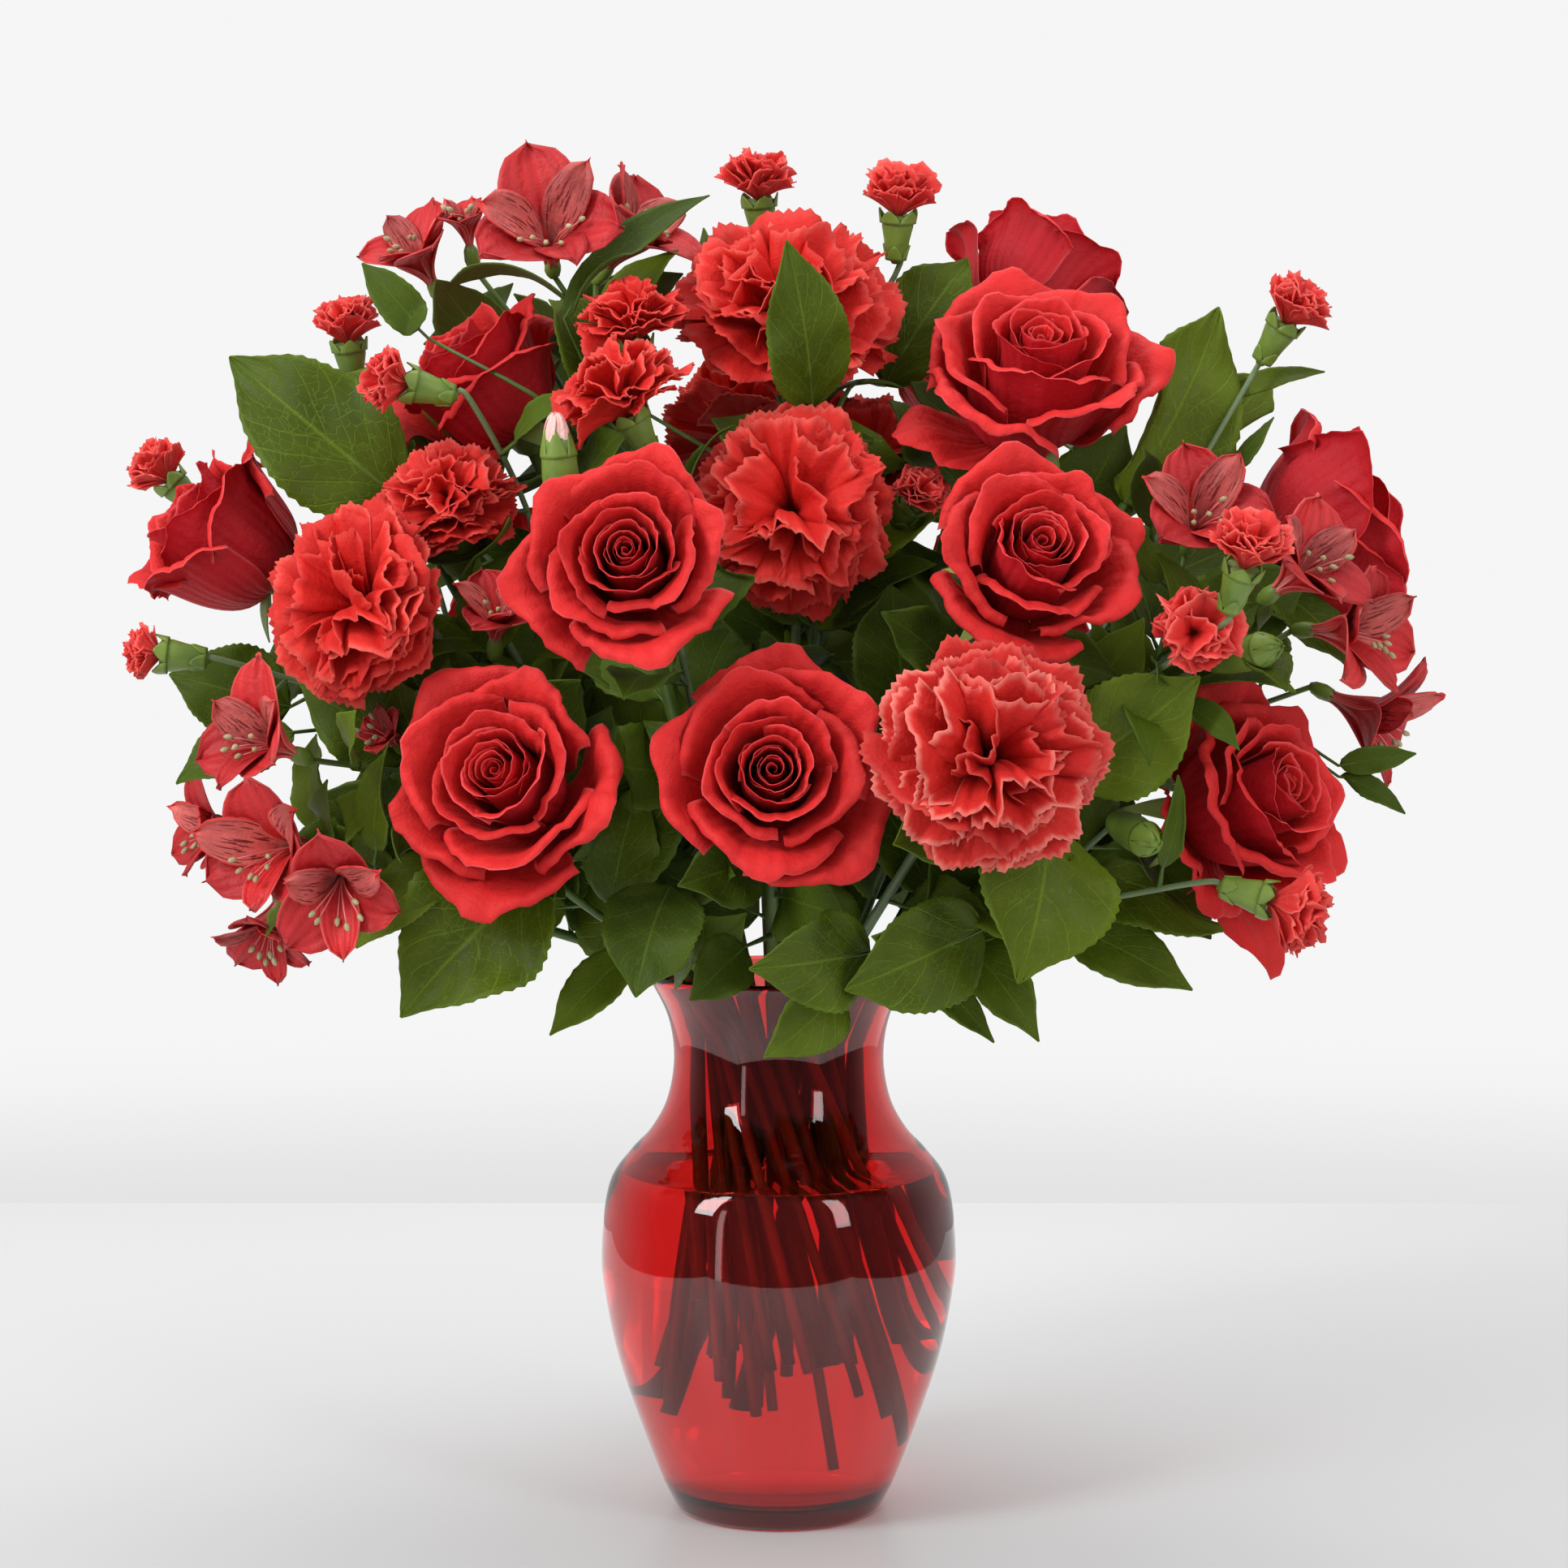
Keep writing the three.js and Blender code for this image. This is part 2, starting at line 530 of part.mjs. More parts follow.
function stemTube(stem, grow) {
  const foot = stem.foot.clone().addScaledVector(towards(stem.line[0], stem.foot), grow);
  return tube([foot, ...stem.line], stem.radius + grow, 4);
}
const twigTube = (twig, grow) => tube(twig.line, twig.radius + grow, 3);

function vase() {
  return turned([[0, 0], ...VASE_OUTSIDE, ...VASE_INSIDE.slice().reverse()], SIDES);
}

function water(grownStems) {
  const first = VASE_INSIDE.findIndex(([, z]) => z > WATER_TOP);
  const [[r0, z0], [r1, z1]] = VASE_INSIDE.slice(first - 1, first + 1);
  const edge = [r0 + ((r1 - r0) * (WATER_TOP - z0)) / (z1 - z0), WATER_TOP];
  const side = [...VASE_INSIDE.slice(1, first), edge].map(([r, z]) => [r - 1.6 * GAP, z]);
  side[0][1] += GAP;
  const body = turned([[0, FLOOR + GAP], ...side, [0, WATER_TOP]], SIDES);
  return largestBody(body.subtract(joined(grownStems)));
}

// A closed body of rings round +Z, from the bottom up: each ring has one [degrees, radius, height] per side
function ringed(bottom, rings, top) {
  const sides = rings[0].length;
  const points = [new THREE.Vector3(0, 0, bottom)];
  rings.forEach((ring) => ring.forEach(([degrees, radius, height]) => {
    const angle = THREE.MathUtils.degToRad(degrees);
    points.push(new THREE.Vector3(radius * Math.cos(angle), radius * Math.sin(angle), height));
  }));
  points.push(new THREE.Vector3(0, 0, top));
  const last = points.length - 1;
  const index = [];
  for (let k = 0; k < sides; k++) {
    const next = (k + 1) % sides;
    index.push(0, 1 + next, 1 + k, last, last - sides + k, last - sides + next);
    for (let j = 0; j < rings.length - 1; j++) {
      const [a, b] = [1 + j * sides + k, 1 + j * sides + next];
      index.push(a, b, b + sides, a, b + sides, a + sides);
    }
  }
  return solidFrom(new THREE.BufferGeometry().setFromPoints(points).setIndex(index));
}

// A ring with a repeating pattern: shape(k) gives [radius, height] for side k
const ring = (sides, shape) => Array.from({ length: sides }, (_, k) => [(360 * k) / sides, ...shape(k)]);

// The edge of a layer of petals, three sides to a petal, each petal tucked in under the next one
const TUCK = [[0.84, 0.8], [1.03, 0.98], [0.95, 1]];

const petalEdge = (radius, height, inset, offset) => ring(12, (k) => {
  const [r, z] = TUCK[(k + offset) % 3];
  return [radius * r - inset, height * z + inset];
});

// A rose: two layers of petals round a bud, with a hollow between each layer and the next
function roseBloom(rose) {
  const { radius, open } = rose;
  const size = (shut, wide) => radius * THREE.MathUtils.lerp(shut, wide, open);
  const solid = ringed(0, [
    ring(12, () => [0.2 * radius, 0.01 * radius]),
    ring(12, () => [size(0.72, 0.78), 0.24 * radius]),
    petalEdge(size(0.86, 1.04), size(0.95, 0.6), 0, 0),
    petalEdge(size(0.86, 1.04), size(0.95, 0.6), 0.7, 0),
    ring(12, () => [size(0.62, 0.66), size(0.64, 0.46)]),
    petalEdge(size(0.6, 0.74), size(1.14, 0.92), 0, 1),
    ring(12, () => [size(0.4, 0.46), size(0.86, 0.7)]),
    ring(12, (k) => [radius * (k % 4 ? 0.32 : 0.2), radius * (k % 4 ? 1.08 : 0.94)]),
  ], 0.9 * radius);
  return placed(solid, bloomFrame(rose.base, rose.axis));
}

// A carnation: layers of toothed petals, from a flat skirt up to a tight crown
function carnationBloom(bloom) {
  const { radius } = bloom;
  const layer = (r, z, inset) => ring(12, (k) => [
    radius * r * (k % 2 ? 1.04 : 0.92) - inset, radius * (z + (k % 2 ? -0.05 : 0.06)) + inset,
  ]);
  const hollow = (r, z) => ring(12, () => [radius * r, radius * z]);
  const solid = ringed(0, [
    hollow(0.2, 0.01), layer(1.02, 0.26, 0), layer(1.02, 0.26, 0.7), hollow(0.62, 0.44),
    layer(0.84, 0.74, 0), hollow(0.4, 0.66), layer(0.46, 0.96, 0),
  ], 0.74 * radius);
  return placed(solid, bloomFrame(bloom.base, bloom.axis));
}

// A small carnation with its own green cup under it. A bud is the cup and a tip of petals.
function miniCarnation(head) {
  const { radius, bud } = head;
  const wide = radius > 14;
  const sides = wide ? 10 : 6;
  const smooth = (r, z) => ring(sides, () => [r, z]);
  const toothed = (r, z, inset) => ring(sides, (k) => [
    r * (k % 2 ? 1.04 : 0.8) - inset, z * (k % 2 ? 0.95 : 1.08) + inset,
  ]);
  const cup = [smooth(2.6, -CALYX.mini), smooth(5.6, -4)];
  const petals = bud
    ? [toothed(3.4, 5, 0)]
    : [toothed(radius, (wide ? 0.5 : 0.75) * radius, 0), toothed(radius, (wide ? 0.5 : 0.75) * radius, 0.7),
      smooth(0.5 * radius, 0.55 * radius), toothed(0.56 * radius, 0.95 * radius, 0)];
  const solid = ringed(-CALYX.mini - 1, [...cup, ...petals], bud ? 7 : 0.7 * radius);
  return placed(solid, bloomFrame(head.base, head.axis));
}

// An alstroemeria flower: three broad outer tepals and three narrow inner ones, cut apart down to the throat
function alstroemeriaFlower(flower) {
  const { radius } = flower;
  const tepals = (inset) => [0, 120, 240].flatMap((turn) => [
    [turn, 0.98 * radius - inset / 2, 0.82 * radius + inset],
    [turn + 35, 0.46 * radius, 0.64 * radius + inset],
    [turn + 60, 0.98 * radius - inset / 2, 0.98 * radius + inset],
    [turn + 85, 0.44 * radius, 0.62 * radius + inset],
  ]);
  const round = (r, z) => tepals(0).map(([degrees]) => [degrees, r, z]);
  const solid = ringed(-CALYX.alstroemeria - 1, [
    round(3.2, -4), tepals(0), tepals(0.8), round(0.15 * radius, 0.45 * radius),
  ], 0.4 * radius);
  return placed(solid, bloomFrame(flower.base, flower.axis));
}

// A leaf with its stalk, a pointed tip, waved edges and a folded rib. It bends round any bloom in its way.
function leafBlade(leaf, grow) {
  const [from, to] = [vector(leaf.from), vector(leaf.to)];
  const along = to.clone().sub(from);
  const length = along.length();
  along.normalize();
  const outward = from.clone().add(to).multiplyScalar(0.5).sub(new THREE.Vector3(0, 0, 230)).normalize();
  outward.y += from.y < 30 ? -0.9 : 0.9;
  const normal = outward.addScaledVector(along, -outward.dot(along)).normalize();
  const across = new THREE.Vector3().crossVectors(along, normal);
  const stalk = leaf.stalk ? leaf.stalk.line.slice(0, -1) : [];
  const shares = leaf.width > 43 ? [0, 0.22, 0.5, 0.78, 1] : [0, 0.3, 0.66, 1];
  const rows = stalk.length + shares.length;
  const point = (u, row) => {
    if (row < stalk.length) return stalk[row].clone().addScaledVector(across, u * (STALK + grow));
    const v = shares[row - stalk.length];
    const wave = row % 2 ? 0.09 : -0.09;
    const half = 0.5 * leaf.width * Math.max(0.05, Math.sin(Math.PI * v ** 0.78)) ** 0.75 + grow;
    const arch = 0.1 * length * (1 - (2 * v - 1) ** 2) + (0.18 + wave * u) * Math.abs(u) * half;
    const place = from.clone().addScaledVector(along, v * length).addScaledVector(across, u * half);
    return pushedOut(place.addScaledVector(normal, arch), leaf.owner, STEM_ROOM);
  };
  const surface = (u, v) => {
    const at = Math.min(v * (rows - 1), rows - 1.000001);
    const low = Math.floor(at);
    return point(u, low).lerp(point(u, low + 1), at - low);
  };
  return blade(surface, leaf.width < 20 ? 1 : 2, rows - 1, LEAF + 2 * grow);
}

// The hip under a rose, with five pointed sepals that hang away from the petals
function roseCup(rose) {
  const sepals = (lift) => ring(10, (k) => (k % 2 ? [6.4, -3 + lift] : [19, -14 + lift]));
  const solid = ringed(-11, [ring(10, () => [6, -6]), sepals(0), sepals(0.9)], -GAP);
  return placed(solid, bloomFrame(rose.base, rose.axis));
}

// The long green cup under a carnation
function calyx(bloom, grow) {
  const wide = (bloom.radius > 26 ? 7.5 : 6) + grow;
  const smooth = (r, z) => ring(6, () => [r, z]);
  const length = CALYX.carnation;
  const cup = ringed(-length - 2 - grow, [
    smooth(0.7 * wide, -0.85 * length), smooth(wide, -0.25 * length), smooth(0.94 * wide, -1),
  ], -GAP);
  return placed(cup, bloomFrame(bloom.base, bloom.axis));
}

// The stem of one owner with its branches and leaves
const greenery = (owner, grow) => [
  stemTube(stemOf.get(owner), grow),
  ...branches.filter((one) => one.owner === owner).map((one) => twigTube(one, grow)),
  ...leaves.filter((leaf) => leaf.owner === owner).map((leaf) => leafBlade(leaf, grow)),
];

// Assembly -------------------------------------------------------------------------------------

// Each entry makes its solid, with `grow` added all round so that a copy can clear what it meets
const makers = [];
const add = (name, finish, make) => makers.push({ name, finish, make });
roses.forEach((rose) => add(`rose_${rose.name}_bloom`, "rose", () => roseBloom(rose)));
carnations.forEach((one) => add(`carnation_${one.name}_bloom`, "carnation", () => carnationBloom(one)));
roses.forEach((rose) => add(rose.owner, "green", (grow) =>
  joined([...greenery(rose.owner, grow), roseCup(rose)])));
carnations.forEach((one) => add(one.owner, "green", (grow) =>
  joined([...greenery(one.owner, grow), calyx(one, grow)])));
sprays.forEach(({ owner, heads }) => add(owner, "green", (grow) =>
  joined([...greenery(owner, grow), ...heads.map(miniCarnation)])));
alstroemerias.forEach(({ owner, flowers }) => add(owner, "alstroemeria", (grow) =>
  joined([...greenery(owner, grow), ...flowers.map(alstroemeriaFlower)])));
SALAL.forEach(({ name }) => add(`salal_${name}`, "salal", (grow) => joined(greenery(`salal_${name}`, grow))));

const bouquet = new THREE.Group();
const finished = [];
const boxesMeet = (a, b) => [0, 1, 2].every((k) => a.min[k] < b.max[k] && b.min[k] < a.max[k]);
for (const { name, finish, make } of makers) {
  let solid = make(0);
  for (const done of finished) {
    if (!boxesMeet(solid.boundingBox(), done.solid.boundingBox())) continue;
    if (solid.intersect(done.grown()).volume() < TOUCH) continue;
    solid = solid.subtract(done.grown());
  }
  solid = largestBody(solid);
  let grown;
  finished.push({ solid, grown: () => (grown ??= make(GAP)) });
  bouquet.add(meshOf(name, solid, finish));
}
bouquet.add(meshOf("vase", vase(), "glass"));
bouquet.add(meshOf("water", water(stems.map((stem) => stemTube(stem, GAP))), "water"));

export default bouquet;
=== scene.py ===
# The looks of a bouquet of roses, carnations, alstroemerias and salal leaves in a ruby glass vase of water.
# Tables and lengths are in millimetres, as the part's own, and each mesh is made in metres.
import math

import bpy
import numpy as np
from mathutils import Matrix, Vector


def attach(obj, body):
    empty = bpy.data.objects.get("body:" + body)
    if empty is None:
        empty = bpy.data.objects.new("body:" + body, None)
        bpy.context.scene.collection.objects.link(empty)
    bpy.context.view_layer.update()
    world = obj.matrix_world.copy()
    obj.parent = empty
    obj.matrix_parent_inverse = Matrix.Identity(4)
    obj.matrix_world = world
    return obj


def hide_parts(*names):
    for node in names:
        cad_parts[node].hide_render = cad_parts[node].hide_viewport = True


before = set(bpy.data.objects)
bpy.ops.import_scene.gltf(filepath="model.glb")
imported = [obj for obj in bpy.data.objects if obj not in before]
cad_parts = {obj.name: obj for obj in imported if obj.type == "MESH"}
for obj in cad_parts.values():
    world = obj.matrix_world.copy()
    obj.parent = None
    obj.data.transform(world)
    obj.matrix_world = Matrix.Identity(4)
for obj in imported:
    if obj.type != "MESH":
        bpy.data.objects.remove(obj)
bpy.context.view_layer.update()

bpy.ops.object.select_all(action="DESELECT")

MM = 0.001
VASE_HEIGHT = 203
WALL = 3  # glass at the side of the vase
FLOOR = 9  # glass under the water
WATER_TOP = 128.5
NECK_HEIGHT = 172
FLARE_HEIGHT = 188  # where the lip starts to flare
FLOOR_RADIUS = 34  # inside the glass, at its floor
NECK_ROOM = 35.8  # the radius that the stems may fill in the neck
SPREAD = 3.5  # how much further from the axis a stem's line meets the table than it passes the neck
TWIST = math.radians(82)  # how far that line turns round the axis on the way
STEM_ROOM = 1.8  # air between two stems
FOOT_ROOM = 1.5  # air between a stem's foot and the glass
VASE_SIDES = 20  # of the part's vase
SAMPLES = 5  # places tested from one point of a stem to the next
GOLDEN_TURN = math.radians(137.5)
VASE_OUTSIDE = [  # (radius, height)
    (36, 0), (40.2, 2.5), (46.8, 17), (60.2, 55), (66, 82), (67.3, 100), (64.2, 123.5), (56.4, 135.5),
    (48.6, 144), (42.2, 156), (39.6, NECK_HEIGHT), (42, FLARE_HEIGHT), (49.4, VASE_HEIGHT),
]
# The first seed of the draws for each kind of piece
SEEDS = dict(
    rose=100, carnation=300, alstroemeria=500, sepals=700, bud=800, leaves=900, spray_twigs=1100,
    alstroemeria_twigs=1200,
)


def dice_of(kind, number):
    return np.random.default_rng(SEEDS[kind] + number)


# Camera, light and stage ------------------------------------------------------------------------

def place_camera():
    data = bpy.data.cameras.new("camera")
    data.lens = 76.4
    data.sensor_width = 36
    camera = bpy.data.objects.new("camera", data)
    camera.location = (0.002, -1.25, 0.357)
    camera.rotation_euler = (math.radians(90 - 3.75), 0, 0)
    bpy.context.scene.collection.objects.link(camera)
    bpy.context.scene.camera = camera


def softbox(name, place, width, height, power):
    """A soft light, in metres and watts, that points at the bouquet."""
    data = bpy.data.lights.new(name, "AREA")
    data.shape = "RECTANGLE"
    data.size = width
    data.size_y = height
    data.energy = power
    lamp = bpy.data.objects.new(name, data)
    lamp.location = place
    aim = Vector((0, 0, 0.3))
    lamp.rotation_euler = (aim - Vector(place)).to_track_quat("-Z", "Y").to_euler()
    bpy.context.scene.collection.objects.link(lamp)


class Wiring:
    """Adds nodes to a tree. A value for a socket is a number, a colour or another node's output."""

    def __init__(self, tree):
        self.tree = tree

    def add(self, kind, settings=(), **values):
        node = self.tree.nodes.new(kind)
        for key, value in dict(settings).items():
            setattr(node, key, value)
        for key, value in values.items():
            self.feed(node.inputs[int(key[1:]) if key[0] == "_" else key.replace("_", " ")], value)
        return node

    def feed(self, socket, value):
        if isinstance(value, bpy.types.NodeSocket):
            self.tree.links.new(value, socket)
        else:
            socket.default_value = value

    def math(self, operation, a, b=0.0, c=0.0):
        node = self.tree.nodes.new("ShaderNodeMath")
        node.operation = operation
        for socket, value in zip(node.inputs, (a, b, c)):
            self.feed(socket, value)
        return node.outputs[0]

    def times(self, a, b):
        return self.math("MULTIPLY", a, b)

    def mix(self, share, a, b):
        node = self.tree.nodes.new("ShaderNodeMix")
        node.data_type = "RGBA"
        self.feed(node.inputs[0], share)
        self.feed(node.inputs[6], a)
        self.feed(node.inputs[7], b)
        return node.outputs[2]

    def ramp(self, value, low, high, to_low=0.0, to_high=1.0):
        node = self.tree.nodes.new("ShaderNodeMapRange")
        node.interpolation_type = "SMOOTHSTEP"
        for socket, number in zip(node.inputs, (value, low, high, to_low, to_high)):
            self.feed(socket, number)
        return node.outputs[0]

    def place(self):
        return self.add("ShaderNodeTexCoord").outputs["Object"]

    def weave(self):
        return self.add("ShaderNodeUVMap", [("uv_map", "weave")]).outputs[0]

    def noise(self, vector, scale, detail, distortion=0.0):
        values = dict(Vector=vector, Scale=scale, Detail=detail, Distortion=distortion)
        return self.add("ShaderNodeTexNoise", **values).outputs["Fac"]

    def bump(self, shader, height, strength, distance):
        node = self.add("ShaderNodeBump", Height=height, Strength=strength, Distance=distance)
        self.feed(shader.inputs["Normal"], node.outputs[0])


def set_sockets(shader, **values):
    for label, value in values.items():
        shader.inputs[label.replace("_", " ")].default_value = value


def light_studio():
    softbox("key_light", (-1.25, -1.0, 1.25), 0.45, 1.2, 22)
    softbox("fill_light", (1.05, -1.15, 0.95), 0.3, 1.2, 7)
    softbox("top_light", (0.1, 0.3, 1.7), 1.2, 0.9, 8)
    softbox("strip_light", (-0.85, -1.1, 0.35), 0.1, 0.9, 0.8)
    horizon = (-0.192, -0.138)
    world = bpy.data.worlds.new("studio")
    bpy.context.scene.world = world
    world.use_nodes = True
    world.node_tree.nodes.clear()
    w = Wiring(world.node_tree)
    way = w.add("ShaderNodeSeparateXYZ", _0=w.add("ShaderNodeTexCoord").outputs["Generated"]).outputs
    wall = w.mix(w.ramp(way[2], *horizon), (0.768, 0.768, 0.772, 1), (0.92, 0.92, 0.92, 1))
    path = w.add("ShaderNodeLightPath").outputs
    seen = w.math("MAXIMUM", path["Is Camera Ray"], path["Is Transmission Ray"])
    backdrop = w.add("ShaderNodeBackground", Color=wall, Strength=1.0).outputs[0]
    room = w.ramp(way[1], -0.2, 0.7, 0.09, 0.55)
    bounce = w.math("ADD", w.times(path["Is Diffuse Ray"], 0.80), w.times(path["Is Glossy Ray"], room))
    around = w.add("ShaderNodeBackground", Color=(1, 1, 1, 1), Strength=bounce).outputs[0]
    both = w.add("ShaderNodeMixShader", _0=seen, _1=around, _2=backdrop).outputs[0]
    w.add("ShaderNodeOutputWorld", Surface=both)


def lay_table():
    """A pale table just under the vase. In the glass it mirrors brighter than it is seen."""
    side = 1.2
    gap = 0.0002
    bpy.ops.mesh.primitive_plane_add(size=side, location=(0, 0, -gap))
    table = bpy.context.object
    table.name = "table_top"
    bpy.ops.object.transform_apply(location=True, rotation=True, scale=True)
    finish = bpy.data.materials.new("white_table")
    finish.use_nodes = True
    w = Wiring(finish.node_tree)
    shader = finish.node_tree.nodes["Principled BSDF"]
    place = w.place()
    cloud = w.noise(place, 3.0, 2.0)
    depth = w.add("ShaderNodeSeparateXYZ", _0=place).outputs[1]
    # Painted shade: the table grows darker towards its front.
    near = w.ramp(depth, 0.5, -0.4)
    tone_with_painted_light = w.mix(w.math("MULTIPLY_ADD", cloud, 0.1, near), (0.745, 0.745, 0.75, 1), (0.54, 0.54, 0.54, 1))
    # Painted reflection: the glass sees the table paler than it is.
    mirrored = w.add("ShaderNodeLightPath").outputs["Is Glossy Ray"]
    tone_with_painted_light = w.mix(mirrored, tone_with_painted_light, (0.95, 0.95, 0.95, 1))
    w.feed(shader.inputs["Base Color"], tone_with_painted_light)
    set_sockets(shader, Roughness=0.35, Specular_IOR_Level=0.3)
    table.data.materials.append(finish)


# The bouquet's layout ---------------------------------------------------------------------------
# A bloom is placed by the middle of its head, the way it faces (its turn from the front towards +X, and its
# rise) and its radius. A rose is open from 0, shut, to 1. A loose petal of a rose has its turn round the axis
# in degrees, how far its sides fall back from its point in shares of its length, and its shape: half, rim,
# top, belly, lean and roll, as in the spiral of petals. A shut bud shows no petals.

def placed(at, turn, rise, radius, **more):
    return dict(at=at, turn=turn, rise=rise, radius=radius, **more)


ROSES = {
    "far_left": placed((-208, 2, 366), -70, 35, 44, open=0.25),
    "upper_left": placed((-112, 5, 426), -65, 50, 43, open=0.58,
         loose=[(-125, 0.3, 42, 1.15, 0.85, 0.85, 50, 45), (-80, 0.2, 40, 1.08, 0.50, 0.85, 72, 55)]),
    "centre_left": placed((-50, -124, 359), -4, 16, 43, open=0.8),
    "lower_left": placed((-94, -98, 283), -18, 20, 46, open=0.95),
    "lower_centre": placed((-2, -118, 286), 2, 14, 43, open=0.9),
    "right_centre": placed((88, -102, 360), 12, 26, 43, open=0.8),
    "upper_right": placed((94, -34, 428), 8, 50, 50, open=0.9,
         loose=[(204, 0.15, 34, 1.10, 0.26, 0.80, 100, 60)]),
    "top_right": placed((99, 52, 467), 140, 45, 40, open=0.5),
    "lower_right": placed((170, -62, 274), 46, 20, 45, open=0.6,
         loose=[(-78, 0.45, 36, 1.30, 0.12, 0.75, 104, 40), (-128, 0.15, 38, 1.02, 0.30, 0.72, 98, 70),
                (-165, 0.2, 38, 1.10, 0.34, 0.75, 88, 60)]),
    "far_right": placed((208, 2, 372), 100, 20, 49, open=0.9,
         loose=[(150, 0.15, 44, 0.98, 0.75, 0.80, 60, 80), (205, 0.15, 44, 1.02, 0.60, 0.80, 66, 80)]),
    "back_left": placed((-96, 88, 345), -145, 30, 42, open=0.7),
    "back_right": placed((88, 92, 335), 148, 25, 43, open=0.8),
}
CARNATIONS = {
    "left": placed((-152, -72, 344), -35, 12, 34),
    "left_upper": placed((-120, -47, 383), -15, 50, 24),
    "top": placed((3, -20, 456), 0, 48, 39),
    "centre": placed((4, -62, 378), -5, 12, 35),
    "right_front": placed((71, -148, 294), 6, 8, 36, finish="edged_petal"),
    "centre_back": placed((34, 4, 399), 20, 30, 26),
    "back_top": placed((-12, 78, 415), 180, 48, 34),
    "back_low": placed((-6, 118, 288), 180, 15, 36),
}
# Sprays of small carnations
SPRAYS = {
    "left": [
        placed((-241, 50, 394), -80, 45, 12),
        placed((-230, -34, 325), -85, 5, 10),
        placed((-158, 56, 388), -120, 40, 14)],
    "upper_left": [
        placed((-164, 22, 447), -20, 75, 13),
        placed((-137, -58, 423), -80, 14, 12)],
    "centre": [
        placed((-57, -82, 420), -60, 60, 25),
        placed((-53, -40, 448), -20, 76, 21),
        placed((-76, -94, 396), -20, 78, 6, bud=True)],
    "top": [
        placed((-8, 34, 503), -15, 75, 14),
        placed((45, 4, 494), 10, 75, 14),
        placed((51, -40, 384), 20, 30, 10)],
    "right": [
        placed((189, -20, 451), 55, 55, 13),
        placed((143, -110, 335), 0, 10, 15),
        placed((158, -132, 362), 30, 60, 14),
        placed((168, -96, 328), 40, 10, 6, bud=True, shut=True)],
    "low_right": [
        placed((176, -108, 240), 75, -15, 16),
        placed((128, -96, 262), 20, -10, 6, bud=True, shut=True)],
}
ALSTROEMERIAS = {
    "top": [
        placed((-84, -26, 481), 0, 30, 30),
        placed((-53, 30, 486), 60, 45, 26),
        placed((-140, 36, 478), -35, 48, 21),
        placed((-120, 27, 488), -20, 60, 15)],
    "right": [
        placed((150, -64, 376), 5, 30, 26),
        placed((184, -100, 358), 40, 30, 24),
        placed((207, -66, 334), 50, 0, 25),
        placed((223, -16, 300), 65, -25, 26)],
    "low_left": [
        placed((-182, -66, 256), -30, 0, 28),
        placed((-152, -108, 245), 0, -20, 24),
        placed((-211, -26, 260), -60, 0, 19),
        placed((-189, -30, 221), -20, -50, 20)],
    "left": [
        placed((-181, -100, 298), -40, 20, 24),
        placed((-141, -58, 297), -40, 30, 15),
        placed((-100, -64, 341), 10, 50, 18)],
    "back": [
        placed((22, 108, 368), 170, 35, 24),
        placed((-38, 122, 352), 190, 25, 22),
        placed((62, 72, 418), 150, 50, 20)],
}
# Leafy stems: each leaf is (from, to, width), and the last one ends the stem
SALAL = {
    "left": [
        ((-132, -8, 398), (-170, -8, 428), 34), ((-112, 34, 290), (-170, 64, 314), 44),
        ((-138, -26, 381), (-205, -18, 430), 50)],
    "top": [
        ((-60, -6, 420), (-88, -10, 456), 34), ((40, 14, 425), (75, 22, 472), 38),
        ((-10, 30, 440), (-32, 40, 488), 30), ((12, -46, 414), (2, -70, 471), 32)],
    "right": [
        ((142, 6, 382), (188, 30, 432), 38), ((168, 2, 420), (203, -4, 430), 9),
        ((130, 40, 340), (186, 62, 366), 42), ((128, -12, 380), (169, 5, 451), 48)],
    "low_right": [
        ((100, -62, 300), (130, -74, 338), 28), ((94, -98, 268), (80, -118, 215), 52),
        ((102, -46, 228), (148, -60, 203), 24), ((108, -48, 248), (168, -60, 224), 34),
        ((100, -86, 284), (148, -98, 316), 42)],
    "low_centre": [
        ((62, -56, 226), (95, -75, 190), 22), ((50, -50, 214), (78, -60, 186), 13),
        ((30, 20, 258), (48, 30, 310), 40), ((32, -92, 222), (-10, -116, 220), 34),
        ((22, -80, 208), (-4, -96, 184), 24), ((72, -88, 230), (22, -108, 214), 40)],
    "low_left": [
        ((-116, -66, 252), (-148, -84, 222), 26), ((-53, -60, 219), (-81, -74, 190), 18),
        ((-36, -16, 268), (-70, -20, 316), 42), ((-84, -74, 248), (-131, -88, 197), 54)],
    "back": [
        ((-34, 62, 250), (-62, 106, 204), 42), ((-38, 50, 300), (-56, 62, 350), 42),
        ((-58, 62, 396), (-92, 76, 452), 38)],
}
# Leaves on other stems, by the name of the stem that carries them
STEM_LEAVES = {
    "rose_far_left_stem": [
        ((-184, 2, 304), (-229, 0, 316), 36), ((-178, -30, 296), (-220, -42, 280), 28)],
    "alstroemeria_top": [
        ((-128, -26, 440), (-153, -22, 467), 16), ((-78, -30, 447), (-28, -8, 495), 17)],
    "alstroemeria_right": [
        ((205, -34, 284), (233, -34, 290), 10), ((205, -34, 280), (229, -38, 267), 10)],
    "rose_lower_left_stem": [((-38, -78, 244), (-52, -100, 208), 38)],
    "rose_right_centre_stem": [((44, -56, 304), (38, -52, 350), 40)],
    "rose_lower_centre_stem": [((-12, -74, 222), (-32, -90, 206), 22)],
    "rose_back_left_stem": [((-98, 60, 268), (-148, 78, 232), 38)],
    "rose_back_right_stem": [
        ((52, 70, 256), (66, 112, 206), 42), ((92, 66, 276), (142, 84, 240), 38),
        ((36, 58, 300), (44, 78, 352), 42)],
    "rose_far_right_stem": [((118, 8, 296), (160, 24, 272), 30)],
}
